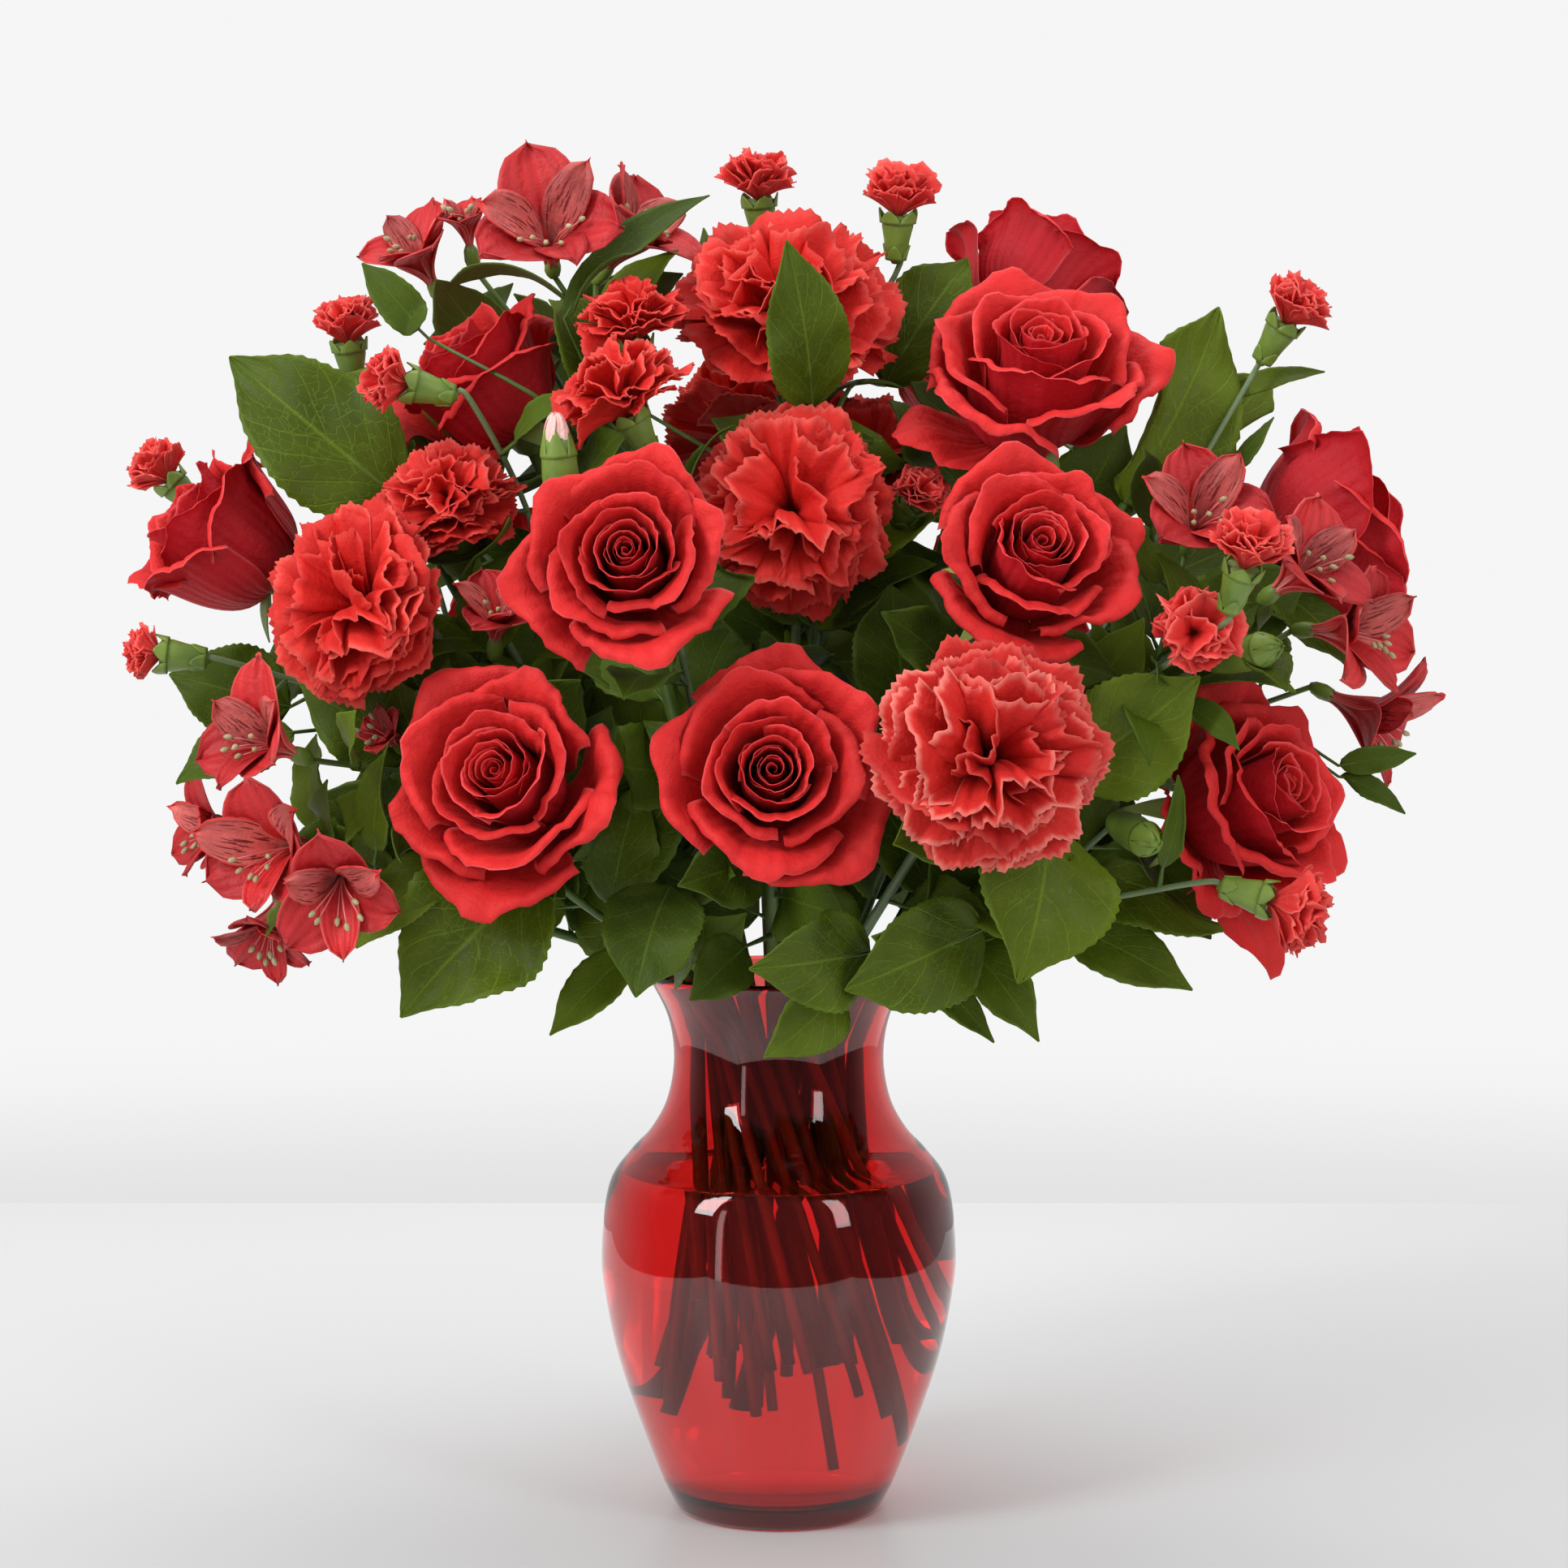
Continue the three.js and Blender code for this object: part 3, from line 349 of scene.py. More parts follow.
# Leaves that fill the gaps between the blooms, by the name of the stem that carries them
FILL_LEAVES = {
    "alstroemeria_left": [((-132, -30, 290), (-176, -34, 312), 34), ((-128, -36, 262), (-168, -44, 276), 30)],
    "alstroemeria_low_left": [((-140, -40, 250), (-190, -46, 240), 34)],
    "rose_upper_left_stem": [((-120, 24, 384), (-146, 26, 424), 32)],
    "rose_upper_right_stem": [((104, 0, 366), (128, -4, 410), 34)],
    "rose_far_right_stem": [((150, -20, 330), (196, -26, 352), 36), ((176, -20, 352), (214, -24, 318), 30)],
}
STEM_RADIUS = dict(rose=2.8, carnation=2, spray=1.7, alstroemeria=2.1, salal=1.7, twig=1.1)
DEPTH = dict(rose=0.55, carnation=0.42, mini=0.5, alstroemeria=0.75)  # of the base, in radii under the middle
CUP_LENGTH = dict(rose=9, carnation=30, mini=22, alstroemeria=9)
MINI_CUP = 17  # the length of a small carnation's cup
# The ball that keeps a cup clear of other things: its radius, and how far it lies under the bloom's base
CUP_ROOM = dict(rose=(14, 7), carnation=(8.5, 16), mini=(6, 10), alstroemeria=(3.5, 4))


def scatter(n):
    """A number from 0 to 1 that looks drawn."""
    x = math.sin(n * 12.9898 + 4.1414) * 43758.5453
    return x - math.floor(x)


def length(v):
    return np.linalg.norm(v, axis=-1, keepdims=True)


def unit(v):
    return v / np.maximum(length(v), 1e-9)


def towards(start, end):
    return unit(np.asarray(end, float) - start)


def lerp(a, b, share):
    return a + (b - a) * share


def facing(turn, rise):
    t, r = math.radians(turn), math.radians(rise)
    return np.array([math.sin(t) * math.cos(r), -math.cos(t) * math.cos(r), math.sin(r)])


def bloom_of(kind, owner, row):
    axis = facing(row["turn"], row["rise"])
    centre = np.array(row["at"], float)
    side = unit(np.cross((0, 0, 1), axis))
    turned = np.array([side, np.cross(axis, side), axis])
    base = centre - axis * DEPTH[kind] * row["radius"]
    return dict(row, kind=kind, owner=owner, axis=axis, centre=centre, turned=turned, base=base)


roses = {name: bloom_of("rose", f"rose_{name}_stem", row) for name, row in ROSES.items()}
carnations = {name: bloom_of("carnation", f"carnation_{name}_stem", row) for name, row in CARNATIONS.items()}
sprays = {
    f"mini_carnations_{name}": [bloom_of("mini", f"mini_carnations_{name}", row) for row in rows]
    for name, rows in SPRAYS.items()
}
alstroemerias = {
    f"alstroemeria_{name}": [bloom_of("alstroemeria", f"alstroemeria_{name}", row) for row in rows]
    for name, rows in ALSTROEMERIAS.items()
}
single_blooms = [*roses.values(), *carnations.values()]
blooms = single_blooms + sum(sprays.values(), []) + sum(alstroemerias.values(), [])


def cup_foot(bloom):
    return bloom["base"] - bloom["axis"] * CUP_LENGTH[bloom["kind"]]


def bloom_balls():
    for bloom in blooms:
        radius, under = CUP_ROOM[bloom["kind"]]
        yield bloom["owner"], bloom["centre"], bloom["radius"]
        yield bloom["owner"], bloom["base"] - bloom["axis"] * under, radius


def leaf_of(owner, start, tip, width, last=False):
    return dict(owner=owner, start=np.array(start, float), tip=np.array(tip, float), width=width, last=last)


leaves = [
    leaf_of(f"salal_{name}", *row, last=number == len(rows) - 1)
    for name, rows in SALAL.items() for number, row in enumerate(rows)
] + [leaf_of(owner, *row) for owner, rows in STEM_LEAVES.items() for row in rows]
bloom_room = list(bloom_balls())
leaf_room = [(leaf["owner"], lerp(leaf["start"], leaf["tip"], 0.45), 0.3 * leaf["width"]) for leaf in leaves]


def pushed_out(points, owner, room):
    """Moves points out of the balls of the blooms that the owner doesn't carry."""
    for name, centre, radius in bloom_room:
        if name != owner:
            away = points - centre
            far = length(away)
            points = np.where(far < radius + room, centre + away / far * (radius + room), points)
    return points


def neck_places(ends, radii):
    """Where each stem passes the neck: on the side that it leans to, spaced so that no two touch."""
    reach = 215  # how far out an end may lie
    gap, edge, rounds = 1.6, 0.8, 300
    places = ends[:, :2] * NECK_ROOM / reach
    least = radii[:, None] + radii[None, :] + gap
    for _ in range(rounds):
        away = places[:, None] - places[None, :]
        far = length(away)[..., 0]
        short = np.where(np.eye(len(places), dtype=bool), 0, np.maximum(0, least - far))
        places = places + (unit(away) * (0.4 * short)[..., None]).sum(1)
        most = NECK_ROOM - radii - edge
        places = places * np.minimum(1, most / length(places)[:, 0])[:, None]
    return places


def bezier(corners, t):
    a, b, c, d = corners
    return (1 - t) ** 3 * a + 3 * (1 - t) ** 2 * t * b + 3 * (1 - t) * t * t * c + t ** 3 * d


def bow(start, leave, end, lead, points):
    """A bow that leaves its start along one direction and arrives along another."""
    far = length(end - start)
    corners = np.array([start, start + leave * 0.3 * far, end - lead * 0.38 * far, end])
    return bezier(corners, np.linspace(0, 1, points + 1)[:, None])


def lip_room(height):
    """The radius that a stem may reach at a height in the neck or the lip."""
    neck = 36 + 0.15 * (height - NECK_HEIGHT)
    lip = 38.4 + 0.5 * (height - FLARE_HEIGHT)
    return np.where(height < FLARE_HEIGHT, neck, lip)


def samples_of(line):
    """Places along a line, with the point before each and its share of the way to the next."""
    k = np.arange((len(line) - 1) * SAMPLES + 1)
    low = np.minimum(k // SAMPLES, len(line) - 2)
    share = k / SAMPLES - low
    return low, share, line[low] * (1 - share[:, None]) + line[low + 1] * share[:, None]


def relax(lines, still, rounds):
    """Moves the middle of each line clear of the other lines and of the blooms that it doesn't carry."""
    lip_end = VASE_HEIGHT + 5
    everything = lines + still
    names = sorted({one["owner"] for one in everything})
    counts = [len(samples_of(one["line"])[0]) for one in everything]
    owner = np.repeat([names.index(one["owner"]) for one in everything], counts)
    radius = np.repeat([one["radius"] for one in everything], counts)
    moved = sum(counts[: len(lines)])
    mine, my_radius = owner[:moved], radius[:moved]
    apart = mine[:, None] != owner[None, :]
    least = my_radius[:, None] + radius[None, :] + STEM_ROOM
    room = bloom_room + leaf_room
    ball_owner = np.array([names.index(name) if name in names else -1 for name, _, _ in room])
    ball_centre = np.array([centre for _, centre, _ in room])
    ball_radius = np.array([r for _, _, r in room])
    for _ in range(rounds):
        at = np.concatenate([samples_of(one["line"])[2] for one in everything])
        away = at[:moved, None] - at[None, :]
        gap = length(away)[..., 0]
        near = apart & (gap < least) & (gap > 0)
        push = (away * np.where(near, 0.25 * (least - gap) / np.maximum(gap, 1e-9), 0)[..., None]).sum(1)
        away = at[:moved, None] - ball_centre
        short = ball_radius + my_radius[:, None] + STEM_ROOM - 0.2 - length(away)[..., 0]
        short = np.where(mine[:, None] != ball_owner, np.maximum(0, short), 0)
        push += (unit(away) * 0.3 * short[..., None]).sum(1)
        flat = at[:moved] * (1, 1, 0)
        over = length(flat)[:, 0] + my_radius + 2 - lip_room(at[:moved, 2])
        over = np.where(at[:moved, 2] < lip_end, np.maximum(0, over), 0)
        push -= unit(flat) * 0.4 * over[:, None]
        start = 0
        for one, count in zip(lines, counts):
            low, share, _ = samples_of(one["line"])
            part = push[start : start + count]
            start += count
            move = np.zeros_like(one["line"])
            np.add.at(move, low, part * (1 - share[:, None]))
            np.add.at(move, low + 1, part * share[:, None])
            middle = (one["line"][:-2] + one["line"][2:]) / 2
            one["new"] = one["line"].copy()
            one["new"][1:-1] += move[1:-1] + 0.1 * (middle - one["line"][1:-1])
        for one in lines:
            one["line"] = one.pop("new")


def inside_at(height):
    """The radius inside the part's glass, which has flat sides, at a height."""
    corners = [VASE_OUTSIDE[k] for k in (2, 3, 5, 6, 7, 9, 10, 12)]
    r, z = zip((FLOOR_RADIUS, FLOOR), *((r - WALL, z) for r, z in corners))
    return np.interp(height, z, r) * math.cos(math.pi / VASE_SIDES)


def fork(heads, share):
    """Where a branched stem forks: a share of the way from the vase's mouth to the middle of its heads."""
    hub = np.array([0.0, 0.0, VASE_HEIGHT])
    return lerp(hub, np.mean([head["base"] for head in heads], axis=0), share)


def lay_out_stems():
    """Leads each stem from its cut foot through the neck to its end, clear of the others."""
    mains = [
        dict(owner=bloom["owner"], kind=bloom["kind"], end=cup_foot(bloom), lead=bloom["axis"])
        for bloom in single_blooms
    ]
    for kind, plants, share in (("spray", sprays, 0.6), ("alstroemeria", alstroemerias, 0.74)):
        mains += [dict(owner=name, kind=kind, end=fork(heads, share)) for name, heads in plants.items()]
    mains += [
        dict(owner=f"salal_{name}", kind="salal", end=np.array(rows[-1][0], float))
        for name, rows in SALAL.items()
    ]
    radii = np.array([STEM_RADIUS[stem["kind"]] for stem in mains], float)
    places = neck_places(np.array([stem["end"] for stem in mains]), radii)
    c, s = SPREAD * math.cos(TWIST), SPREAD * math.sin(TWIST)
    for number, (stem, (x, y), radius) in enumerate(zip(mains, places, radii)):
        neck = np.array([x, y, NECK_HEIGHT + 6])
        ground = np.array([c * x - s * y, s * x + c * y, 0])
        cut = 0.13 if number % 9 == 4 else 0.22 + 0.16 * scatter(number)
        room = radius + FOOT_ROOM
        while length(lerp(ground, neck, cut)[:2])[0] + room > inside_at(lerp(0, neck[2], cut)):
            cut += 0.01
        lead = stem.get("lead")
        lead = towards(neck, stem["end"]) if lead is None else lead
        stem["radius"] = radius
        stem["foot"] = lerp(ground, neck, cut)
        stem["line"] = bow(neck, towards(ground, neck), stem["end"], lead, 5)
    relax(mains, [], 120)
    return mains


def twig_of(stem, line):
    return dict(owner=stem["owner"], radius=STEM_RADIUS["twig"], line=line)


def stalk_line(stem, end, lead):
    """A stalk that rises to the foot of a leaf from a place near it on its stem."""
    choice = samples_of(stem["line"])[2][SAMPLES - 1 :]
    high = choice[:, 2] - end[2] + 0.6 * length(choice[:, :2] - end[:2])[:, 0]
    root = choice[np.argmin(length(choice - end)[:, 0] + np.maximum(0, high))]
    points = 2 if length(root - end) > 24 else 1
    return twig_of(stem, bow(root, towards(root, end), end, lead, points))


def branch_line(stem, bloom, number):
    """A twig to a head, which leaves its stem a step lower than the twig before it."""
    step = 0.27
    below, top = stem["line"][-2:]
    root = lerp(top, below, step * number)
    end = cup_foot(bloom)
    return twig_of(stem, bow(root, towards(root, end), end, bloom["axis"], 2))


stems = {stem["owner"]: stem for stem in lay_out_stems()}
for leaf in leaves:
    if not leaf["last"]:
        leaf["stalk"] = stalk_line(stems[leaf["owner"]], leaf["start"], towards(leaf["start"], leaf["tip"]))
branches = [
    branch_line(stems[name], bloom, number)
    for name, heads in [*sprays.items(), *alstroemerias.items()] for number, bloom in enumerate(heads)
]
relax(branches + [leaf["stalk"] for leaf in leaves if "stalk" in leaf], list(stems.values()), 60)


# Growing meshes ---------------------------------------------------------------------------------

class Growth:
    """The points and faces of one piece, with a UV and a mark for each point.

    A mark is (margin, depth, tint, side): how near the point is to the sheet's edge, how deep it lies in
    the bloom, the petal's own shade, and 1 on the outer side of a petal or the upper side of a leaf."""

    def __init__(self):
        self.points = []
        self.faces = []
        self.uvs = []
        self.marks = []
        self.finish_of_faces = []
        self.finishes = []
        self.count = 0

    def take(self, points, faces, uvs, marks, finish):
        if finish not in self.finishes:
            self.finishes.append(finish)
        self.points.append(points.reshape(-1, 3))
        self.uvs.append(uvs.reshape(-1, 2))
        self.marks.append(marks.reshape(-1, 4))
        self.faces += [tuple(int(k) + self.count for k in face) for face in faces]
        self.finish_of_faces += [self.finishes.index(finish)] * len(faces)
        self.count += self.points[-1].shape[0]

    def sheet(self, places, thickness, finish, tint, depth=0.0):
        """A thin shell over a grid of places, which run across (u) within each row (v)."""
        rows, cols = places.shape[:2]
        normal = unit(np.cross(np.gradient(places, axis=1), np.gradient(places, axis=0)))
        normal[0] = np.where(length(normal[0]) < 0.5, normal[1], normal[0])
        half = np.asarray(thickness, float).reshape(-1, 1, 1) / 2 * normal
        u, v = np.meshgrid(np.linspace(0, 1, cols), np.linspace(0, 1, rows))
        margin = np.maximum(np.abs(2 * u - 1) ** 16, v ** 16)
        # The depth mark sets how strongly a petal's foot takes its foot colour, a painted shade where that
        # colour is dark.
        marks = np.stack([margin, np.full_like(u, depth), np.full_like(u, tint), np.zeros_like(u)], -1)
        upper = marks.copy()
        upper[..., 3] = 1
        base = np.arange(rows * cols).reshape(rows, cols)
        a, b, c, d = base[:-1, :-1], base[:-1, 1:], base[1:, 1:], base[1:, :-1]
        quads = np.stack([a, b, c, d], -1).reshape(-1, 4)
        n = rows * cols
        rim = np.concatenate([base[0, :-1], base[:-1, -1], base[-1, :0:-1], base[:0:-1, 0]])
        after = np.roll(rim, -1)
        edge = np.stack([rim, rim + n, after + n, after], -1)
        quads = np.concatenate([quads, quads[:, ::-1] + n, edge])
        points = np.concatenate([(places + half).reshape(-1, 3), (places - half).reshape(-1, 3)])
        uvs = np.tile(np.stack([u, v], -1).reshape(-1, 2), (2, 1))
        both = np.concatenate([upper.reshape(-1, 4), marks.reshape(-1, 4)])
        self.take(points, quads, uvs, both, finish)

    def tube(self, line, radii, finish, sides, tint=0.5):
        """A closed tube along a line, with its own radius at each point."""
        line = np.asarray(line, float)
        count = len(line)
        radii = np.broadcast_to(np.asarray(radii, float), (count,))
        along = unit(np.gradient(line, axis=0))
        side = unit(np.cross(along[0], (0.31, 0.87, 0.38)))
        rings = []
        angles = 2 * math.pi * np.arange(sides) / sides
        for point, ahead, radius in zip(line, along, radii):
            side = unit(side - ahead * (side @ ahead))
            other = np.cross(ahead, side)
            rings.append(point + radius * (np.cos(angles)[:, None] * side + np.sin(angles)[:, None] * other))
        points = np.concatenate([*rings, line[:1], line[-1:]])
        faces = []
        for j in range(count - 1):
            for k in range(sides):
                n = (k + 1) % sides
                faces.append((j * sides + k, j * sides + n, (j + 1) * sides + n, (j + 1) * sides + k))
        first, last = count * sides, count * sides + 1
        for k in range(sides):
            n = (k + 1) % sides
            faces.append((first, n, k))
            faces.append((last, (count - 1) * sides + k, (count - 1) * sides + n))
        uvs = np.zeros((len(points), 2))
        uvs[: count * sides, 0] = np.tile(np.arange(sides) / sides, count)
        uvs[: count * sides, 1] = np.repeat(np.linspace(0, 1, count), sides)
        marks = np.tile([0.0, 0.0, tint, 1.0], (len(points), 1))
        self.take(points, faces, uvs, marks, finish)

    def piece(self, name, slot, *nodes):
        mesh = bpy.data.meshes.new(name)
        mesh.from_pydata(np.concatenate(self.points) * MM, [], self.faces)
        corners = np.empty(len(mesh.loops), np.int32)
        mesh.loops.foreach_get("vertex_index", corners)
        mesh.uv_layers.new(name="weave").data.foreach_set("uv", np.concatenate(self.uvs)[corners].ravel())
        marks = mesh.color_attributes.new("marks", "FLOAT_COLOR", "POINT")
        marks.data.foreach_set("color", np.concatenate(self.marks).ravel())
        for finish in self.finishes:
            mesh.materials.append(FINISHES[finish])
        mesh.polygons.foreach_set("material_index", self.finish_of_faces)
        mesh.polygons.foreach_set("use_smooth", [True] * len(mesh.polygons))
        piece = bpy.data.objects.new(name, mesh)
        bpy.context.scene.collection.objects.link(piece)
        settle(piece, slot, *nodes)


def settle(piece, slot, *nodes):
    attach(piece, "root")
    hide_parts(*nodes)


def curve_through(points, per):
    """A smooth curve through the points, with `per` steps between each two."""
    points = np.asarray(points, float)
    ends = np.concatenate([[2 * points[0] - points[1]], points, [2 * points[-1] - points[-2]]])
    t = np.linspace(0, 1, per, endpoint=False)[:, None]
    spans = []
    for a, b, c, d in zip(ends, ends[1:], ends[2:], ends[3:]):
        spans.append(0.5 * (2 * b + (c - a) * t + (2 * a - 5 * b + 4 * c - d) * t * t
                            + (3 * b - a - 3 * c + d) * t ** 3))
    return np.concatenate([*spans, points[-1:]])


def smooth(x):
    x = np.clip(x, 0, 1)
    return x * x * (3 - 2 * x)


def in_bloom(bloom, around, radius, height):
    """Places from an angle round the bloom's axis, a distance from it and a height over its base."""
    local = np.stack([radius * np.cos(around), radius * np.sin(around), height], -1)
    return local @ bloom["turned"] + bloom["base"]


def beside(bloom, around, radius, across, height):
    """Places of a petal that grows out at an angle: how far out, how far across it, and how high."""
    local = np.stack([
        radius * math.cos(around) - across * math.sin(around),
        radius * math.sin(around) + across * math.cos(around), height,
    ], -1)
    return local @ bloom["turned"] + bloom["base"]


# Roses ------------------------------------------------------------------------------------------
# The spiral of a rose's petals, given at a few of them from the middle out: the number of the petal, half the
# angle that it wraps, and then as (shut, open) the radius of its rim and the height of its top in radii of
# the bloom, its belly, which is the widest radius of its foot, the lean of its upper part in degrees, and
# how far its margin rolls back in degrees.
PETALS = 22
SPIRAL = [
    (0, 150, (0.03, 0.035), (1.02, 0.82), (0.13, 0.13), (0, 0), (0, 0)),
    (5, 120, (0.11, 0.15), (1.09, 0.89), (0.24, 0.24), (0, 3), (0, 8)),
    (9, 98, (0.19, 0.28), (1.13, 0.93), (0.33, 0.34), (3, 12), (8, 26)),
    (12, 80, (0.31, 0.43), (1.14, 0.92), (0.43, 0.44), (8, 30), (30, 62)),
    (14, 68, (0.43, 0.58), (1.12, 0.87), (0.53, 0.54), (16, 52), (58, 92)),
    (17, 58, (0.62, 0.80), (1.07, 0.76), (0.66, 0.67), (38, 78), (95, 115)),
    (21, 50, (0.84, 1.02), (0.92, 0.56), (0.78, 0.80), (68, 98), (105, 120)),
]


def on_spiral(petal, wide):
    """The shape of a petal of the spiral: half, rim, top, belly, lean and roll."""
    at, halves, *columns = zip(*SPIRAL)
    shape = [np.interp(petal, at, halves)]
    for column in columns:
        shut, open_ = (np.interp(petal, at, values) for values in zip(*column))
        shape.append(lerp(shut, open_, wide))
    return shape


def rose_petal(rose, shape, order, around, dice, point=0.0):
    """One petal: it rises, leans out, wraps round the axis, and rolls back along its margin to a tip.

    `order` runs from 0 for the inmost petal to 1 for the outmost, and `point` draws the tip out."""
    size = rose["radius"]
    half, rim, top, belly, lean, roll = shape
    lean = math.radians(lean + dice.normal(0, 1 + 6 * order))
    rim = rim * (1 + dice.normal(0, 0.045)) * size
    top = (top + dice.normal(0, 0.006 + 0.02 * order)) * size
    reach = 0.38 * size
    corners = np.array([
        [0.07 * size, 0], [belly * size, 0.0],
        [rim - reach * math.sin(lean), top - reach * math.cos(lean)], [rim, top],
    ])
    profile = bezier(corners, np.linspace(0, 1, 60)[:, None])
    run = np.concatenate([[0], np.cumsum(length(np.diff(profile, axis=0))[:, 0])])
    tangent = unit(np.gradient(profile, axis=0))
    cols, rows = (29, 22) if order > 0.5 else (21, 14)
    u = np.linspace(-1, 1, cols)[None, :]
    v = (1 - (1 - np.linspace(0, 1, rows)) ** 1.35)[:, None]
    phase = dice.uniform(0, 2 * math.pi, 7)
    off = u - dice.uniform(-0.16, 0.16)
    tip = 0.10 * order * np.exp(-((off / 0.15) ** 2)) - point * np.abs(off) ** 1.2
    nick = 0.012 * order * np.sin(9 * u + phase[2]) * np.sin(23 * u + phase[3])
    tall = run[-1] * (1 - (0.05 + 0.15 * order) * np.abs(u) ** 2.6 + tip + nick)
    uneven = 1 + 0.25 * np.sin(3 * u + phase[4])
    curl = math.radians(roll) * (0.3 + 0.85 * smooth(np.abs(off) / 0.45)) * uneven
    band = run[-1] * (0.035 + 0.06 * order) * (0.6 + 0.7 * np.abs(u))
    s = v * tall
    start = tall - band
    flat = np.minimum(s, start)
    past = np.maximum(0, s - start)
    bend = band / np.maximum(curl, 0.05)
    r0, z0 = (np.interp(flat, run, profile[:, k]) for k in (0, 1))
    tr, tz = (np.interp(flat, run, tangent[:, k]) for k in (0, 1))
    ahead, aside = bend * np.sin(past / bend), bend * (1 - np.cos(past / bend))
    ripple = np.sin(1.6 * math.pi * u + phase[0]) + 0.5 * np.sin(3.7 * math.pi * u + phase[1])
    dents = np.sin(5.1 * u + 3.3 * v + phase[5]) * np.sin(6.3 * v - 3.7 * u + phase[6])
    crimp = np.sin(13 * u + 2.2 * ripple) * v ** 4
    aside = aside + (0.003 + 0.024 * order ** 2) * size * v ** 3 * ripple
    aside = aside + order * size * (0.034 * v * dents + 0.019 * crimp)
    aside = aside + 0.05 * size * order * smooth((np.abs(u) - 0.6) / 0.4) * v ** 2
    radius = r0 + tr * ahead + tz * aside + (0.014 + 0.030 * order) * size * u * v
    height = z0 + tz * ahead - tr * aside
    half = math.radians(half) * dice.uniform(0.93, 1.07)
    angle = around + half * u * (0.55 + 0.45 * smooth(v / 0.6))
    return in_bloom(rose, angle + 0 * radius, radius, height)


def rose_petals(growth, rose, number):
    dice = dice_of("rose", number)
    around = dice.uniform(0, 2 * math.pi)
    for petal in range(PETALS):
        around += GOLDEN_TURN
        order = petal / (PETALS - 1)
        shape = on_spiral(petal, rose["open"])
        places = rose_petal(rose, shape, order, around + dice.normal(0, 0.08), dice)
        thickness = np.linspace(0.8, 0.15, len(places))
        # Inner petals are marked deeper, which darkens their foot with painted shade.
        growth.sheet(places, thickness, "rose_petal", dice.uniform(0, 1), 1 - order)
    for turn, point, *shape in rose.get("loose", ()):
        places = rose_petal(rose, shape, 1.0, math.radians(turn), dice, point)
        growth.sheet(places, np.linspace(0.8, 0.2, len(places)), "rose_petal", dice.uniform(0, 0.4))


# Carnations -------------------------------------------------------------------------------------

def fan_petal(bloom, around, tip, half, ruffle, waves, dice, lean, twist, grid):
    """A carnation petal: a fan from a narrow claw to a toothed, ruffled margin at tip = (radius, height)."""
    size = bloom["radius"]
    cols, rows = grid
    u = np.linspace(-1, 1, cols)[None, :]
    v = np.linspace(0, 1, rows)[:, None]
    start, tip = np.array((0.05, 0.02)) * size, np.array(tip) * size
    reach = length(tip - start)[0]
    ahead = unit(tip - start)
    aside = np.array([ahead[1], -ahead[0]])
    phase = dice.uniform(0, 2 * math.pi, 5)
    fan = math.radians(half) * u * (1 + 0.1 * np.sin(3 * v + phase[4]))
    teeth = np.where(np.arange(cols) % 2, -0.017, 0.012)[None, :] * (1 + 0.6 * np.sin(7 * u + phase[3]))
    lobes = 0.05 * np.sin(4.2 * u + phase[3]) + 0.03 * np.sin(9.5 * u + phase[4])
    run = reach * v * (np.cos(fan) ** 0.5 + teeth * v ** 8 + lobes * v ** 3)
    wave = np.sin(waves * math.pi * u + phase[0] + 0.8 * v)
    wave = wave + 0.42 * np.sin(2.3 * waves * math.pi * u + phase[1] - v)
    wave = wave + 0.2 * v ** 2 * np.sin(5.2 * waves * math.pi * u + phase[2])
    across = run * np.sin(fan)
    shift = ruffle * size * v ** 1.5 * wave + lean * reach * v ** 3 + twist * across
    along = run * np.cos(fan)
    radius = start[0] + ahead[0] * along + aside[0] * shift
    height = start[1] + ahead[1] * along + aside[1] * shift
    return beside(bloom, around, radius, across, height)


# The layers of a carnation from the outside in: petals, the climb of their tips and half their fan in
# degrees, the height of their ruffles in radii of the bloom, how many waves, and how far their tips lean out
CARNATION_LAYERS = [
    dict(petals=8, climb=2, half=36, ruffle=0.05, waves=0.9, lean=0.10),
    dict(petals=8, climb=17, half=36, ruffle=0.06, waves=1.1, lean=0.14),
    dict(petals=7, climb=33, half=35, ruffle=0.07, waves=1.2, lean=0.20),
    dict(petals=7, climb=50, half=34, ruffle=0.08, waves=1.3, lean=0.28),
    dict(petals=6, climb=67, half=34, ruffle=0.10, waves=1.4, lean=0.36),
    dict(petals=5, climb=84, half=36, ruffle=0.12, waves=1.6, lean=0.30),
]
MINI_LAYERS = [
    dict(petals=7, climb=36, half=34, ruffle=0.05, waves=1.0, lean=0.10),
    dict(petals=6, climb=50, half=33, ruffle=0.06, waves=1.2, lean=0.12),
    dict(petals=6, climb=64, half=32, ruffle=0.09, waves=1.5, lean=0.2),
    dict(petals=5, climb=80, half=32, ruffle=0.12, waves=1.8, lean=0.2),
]


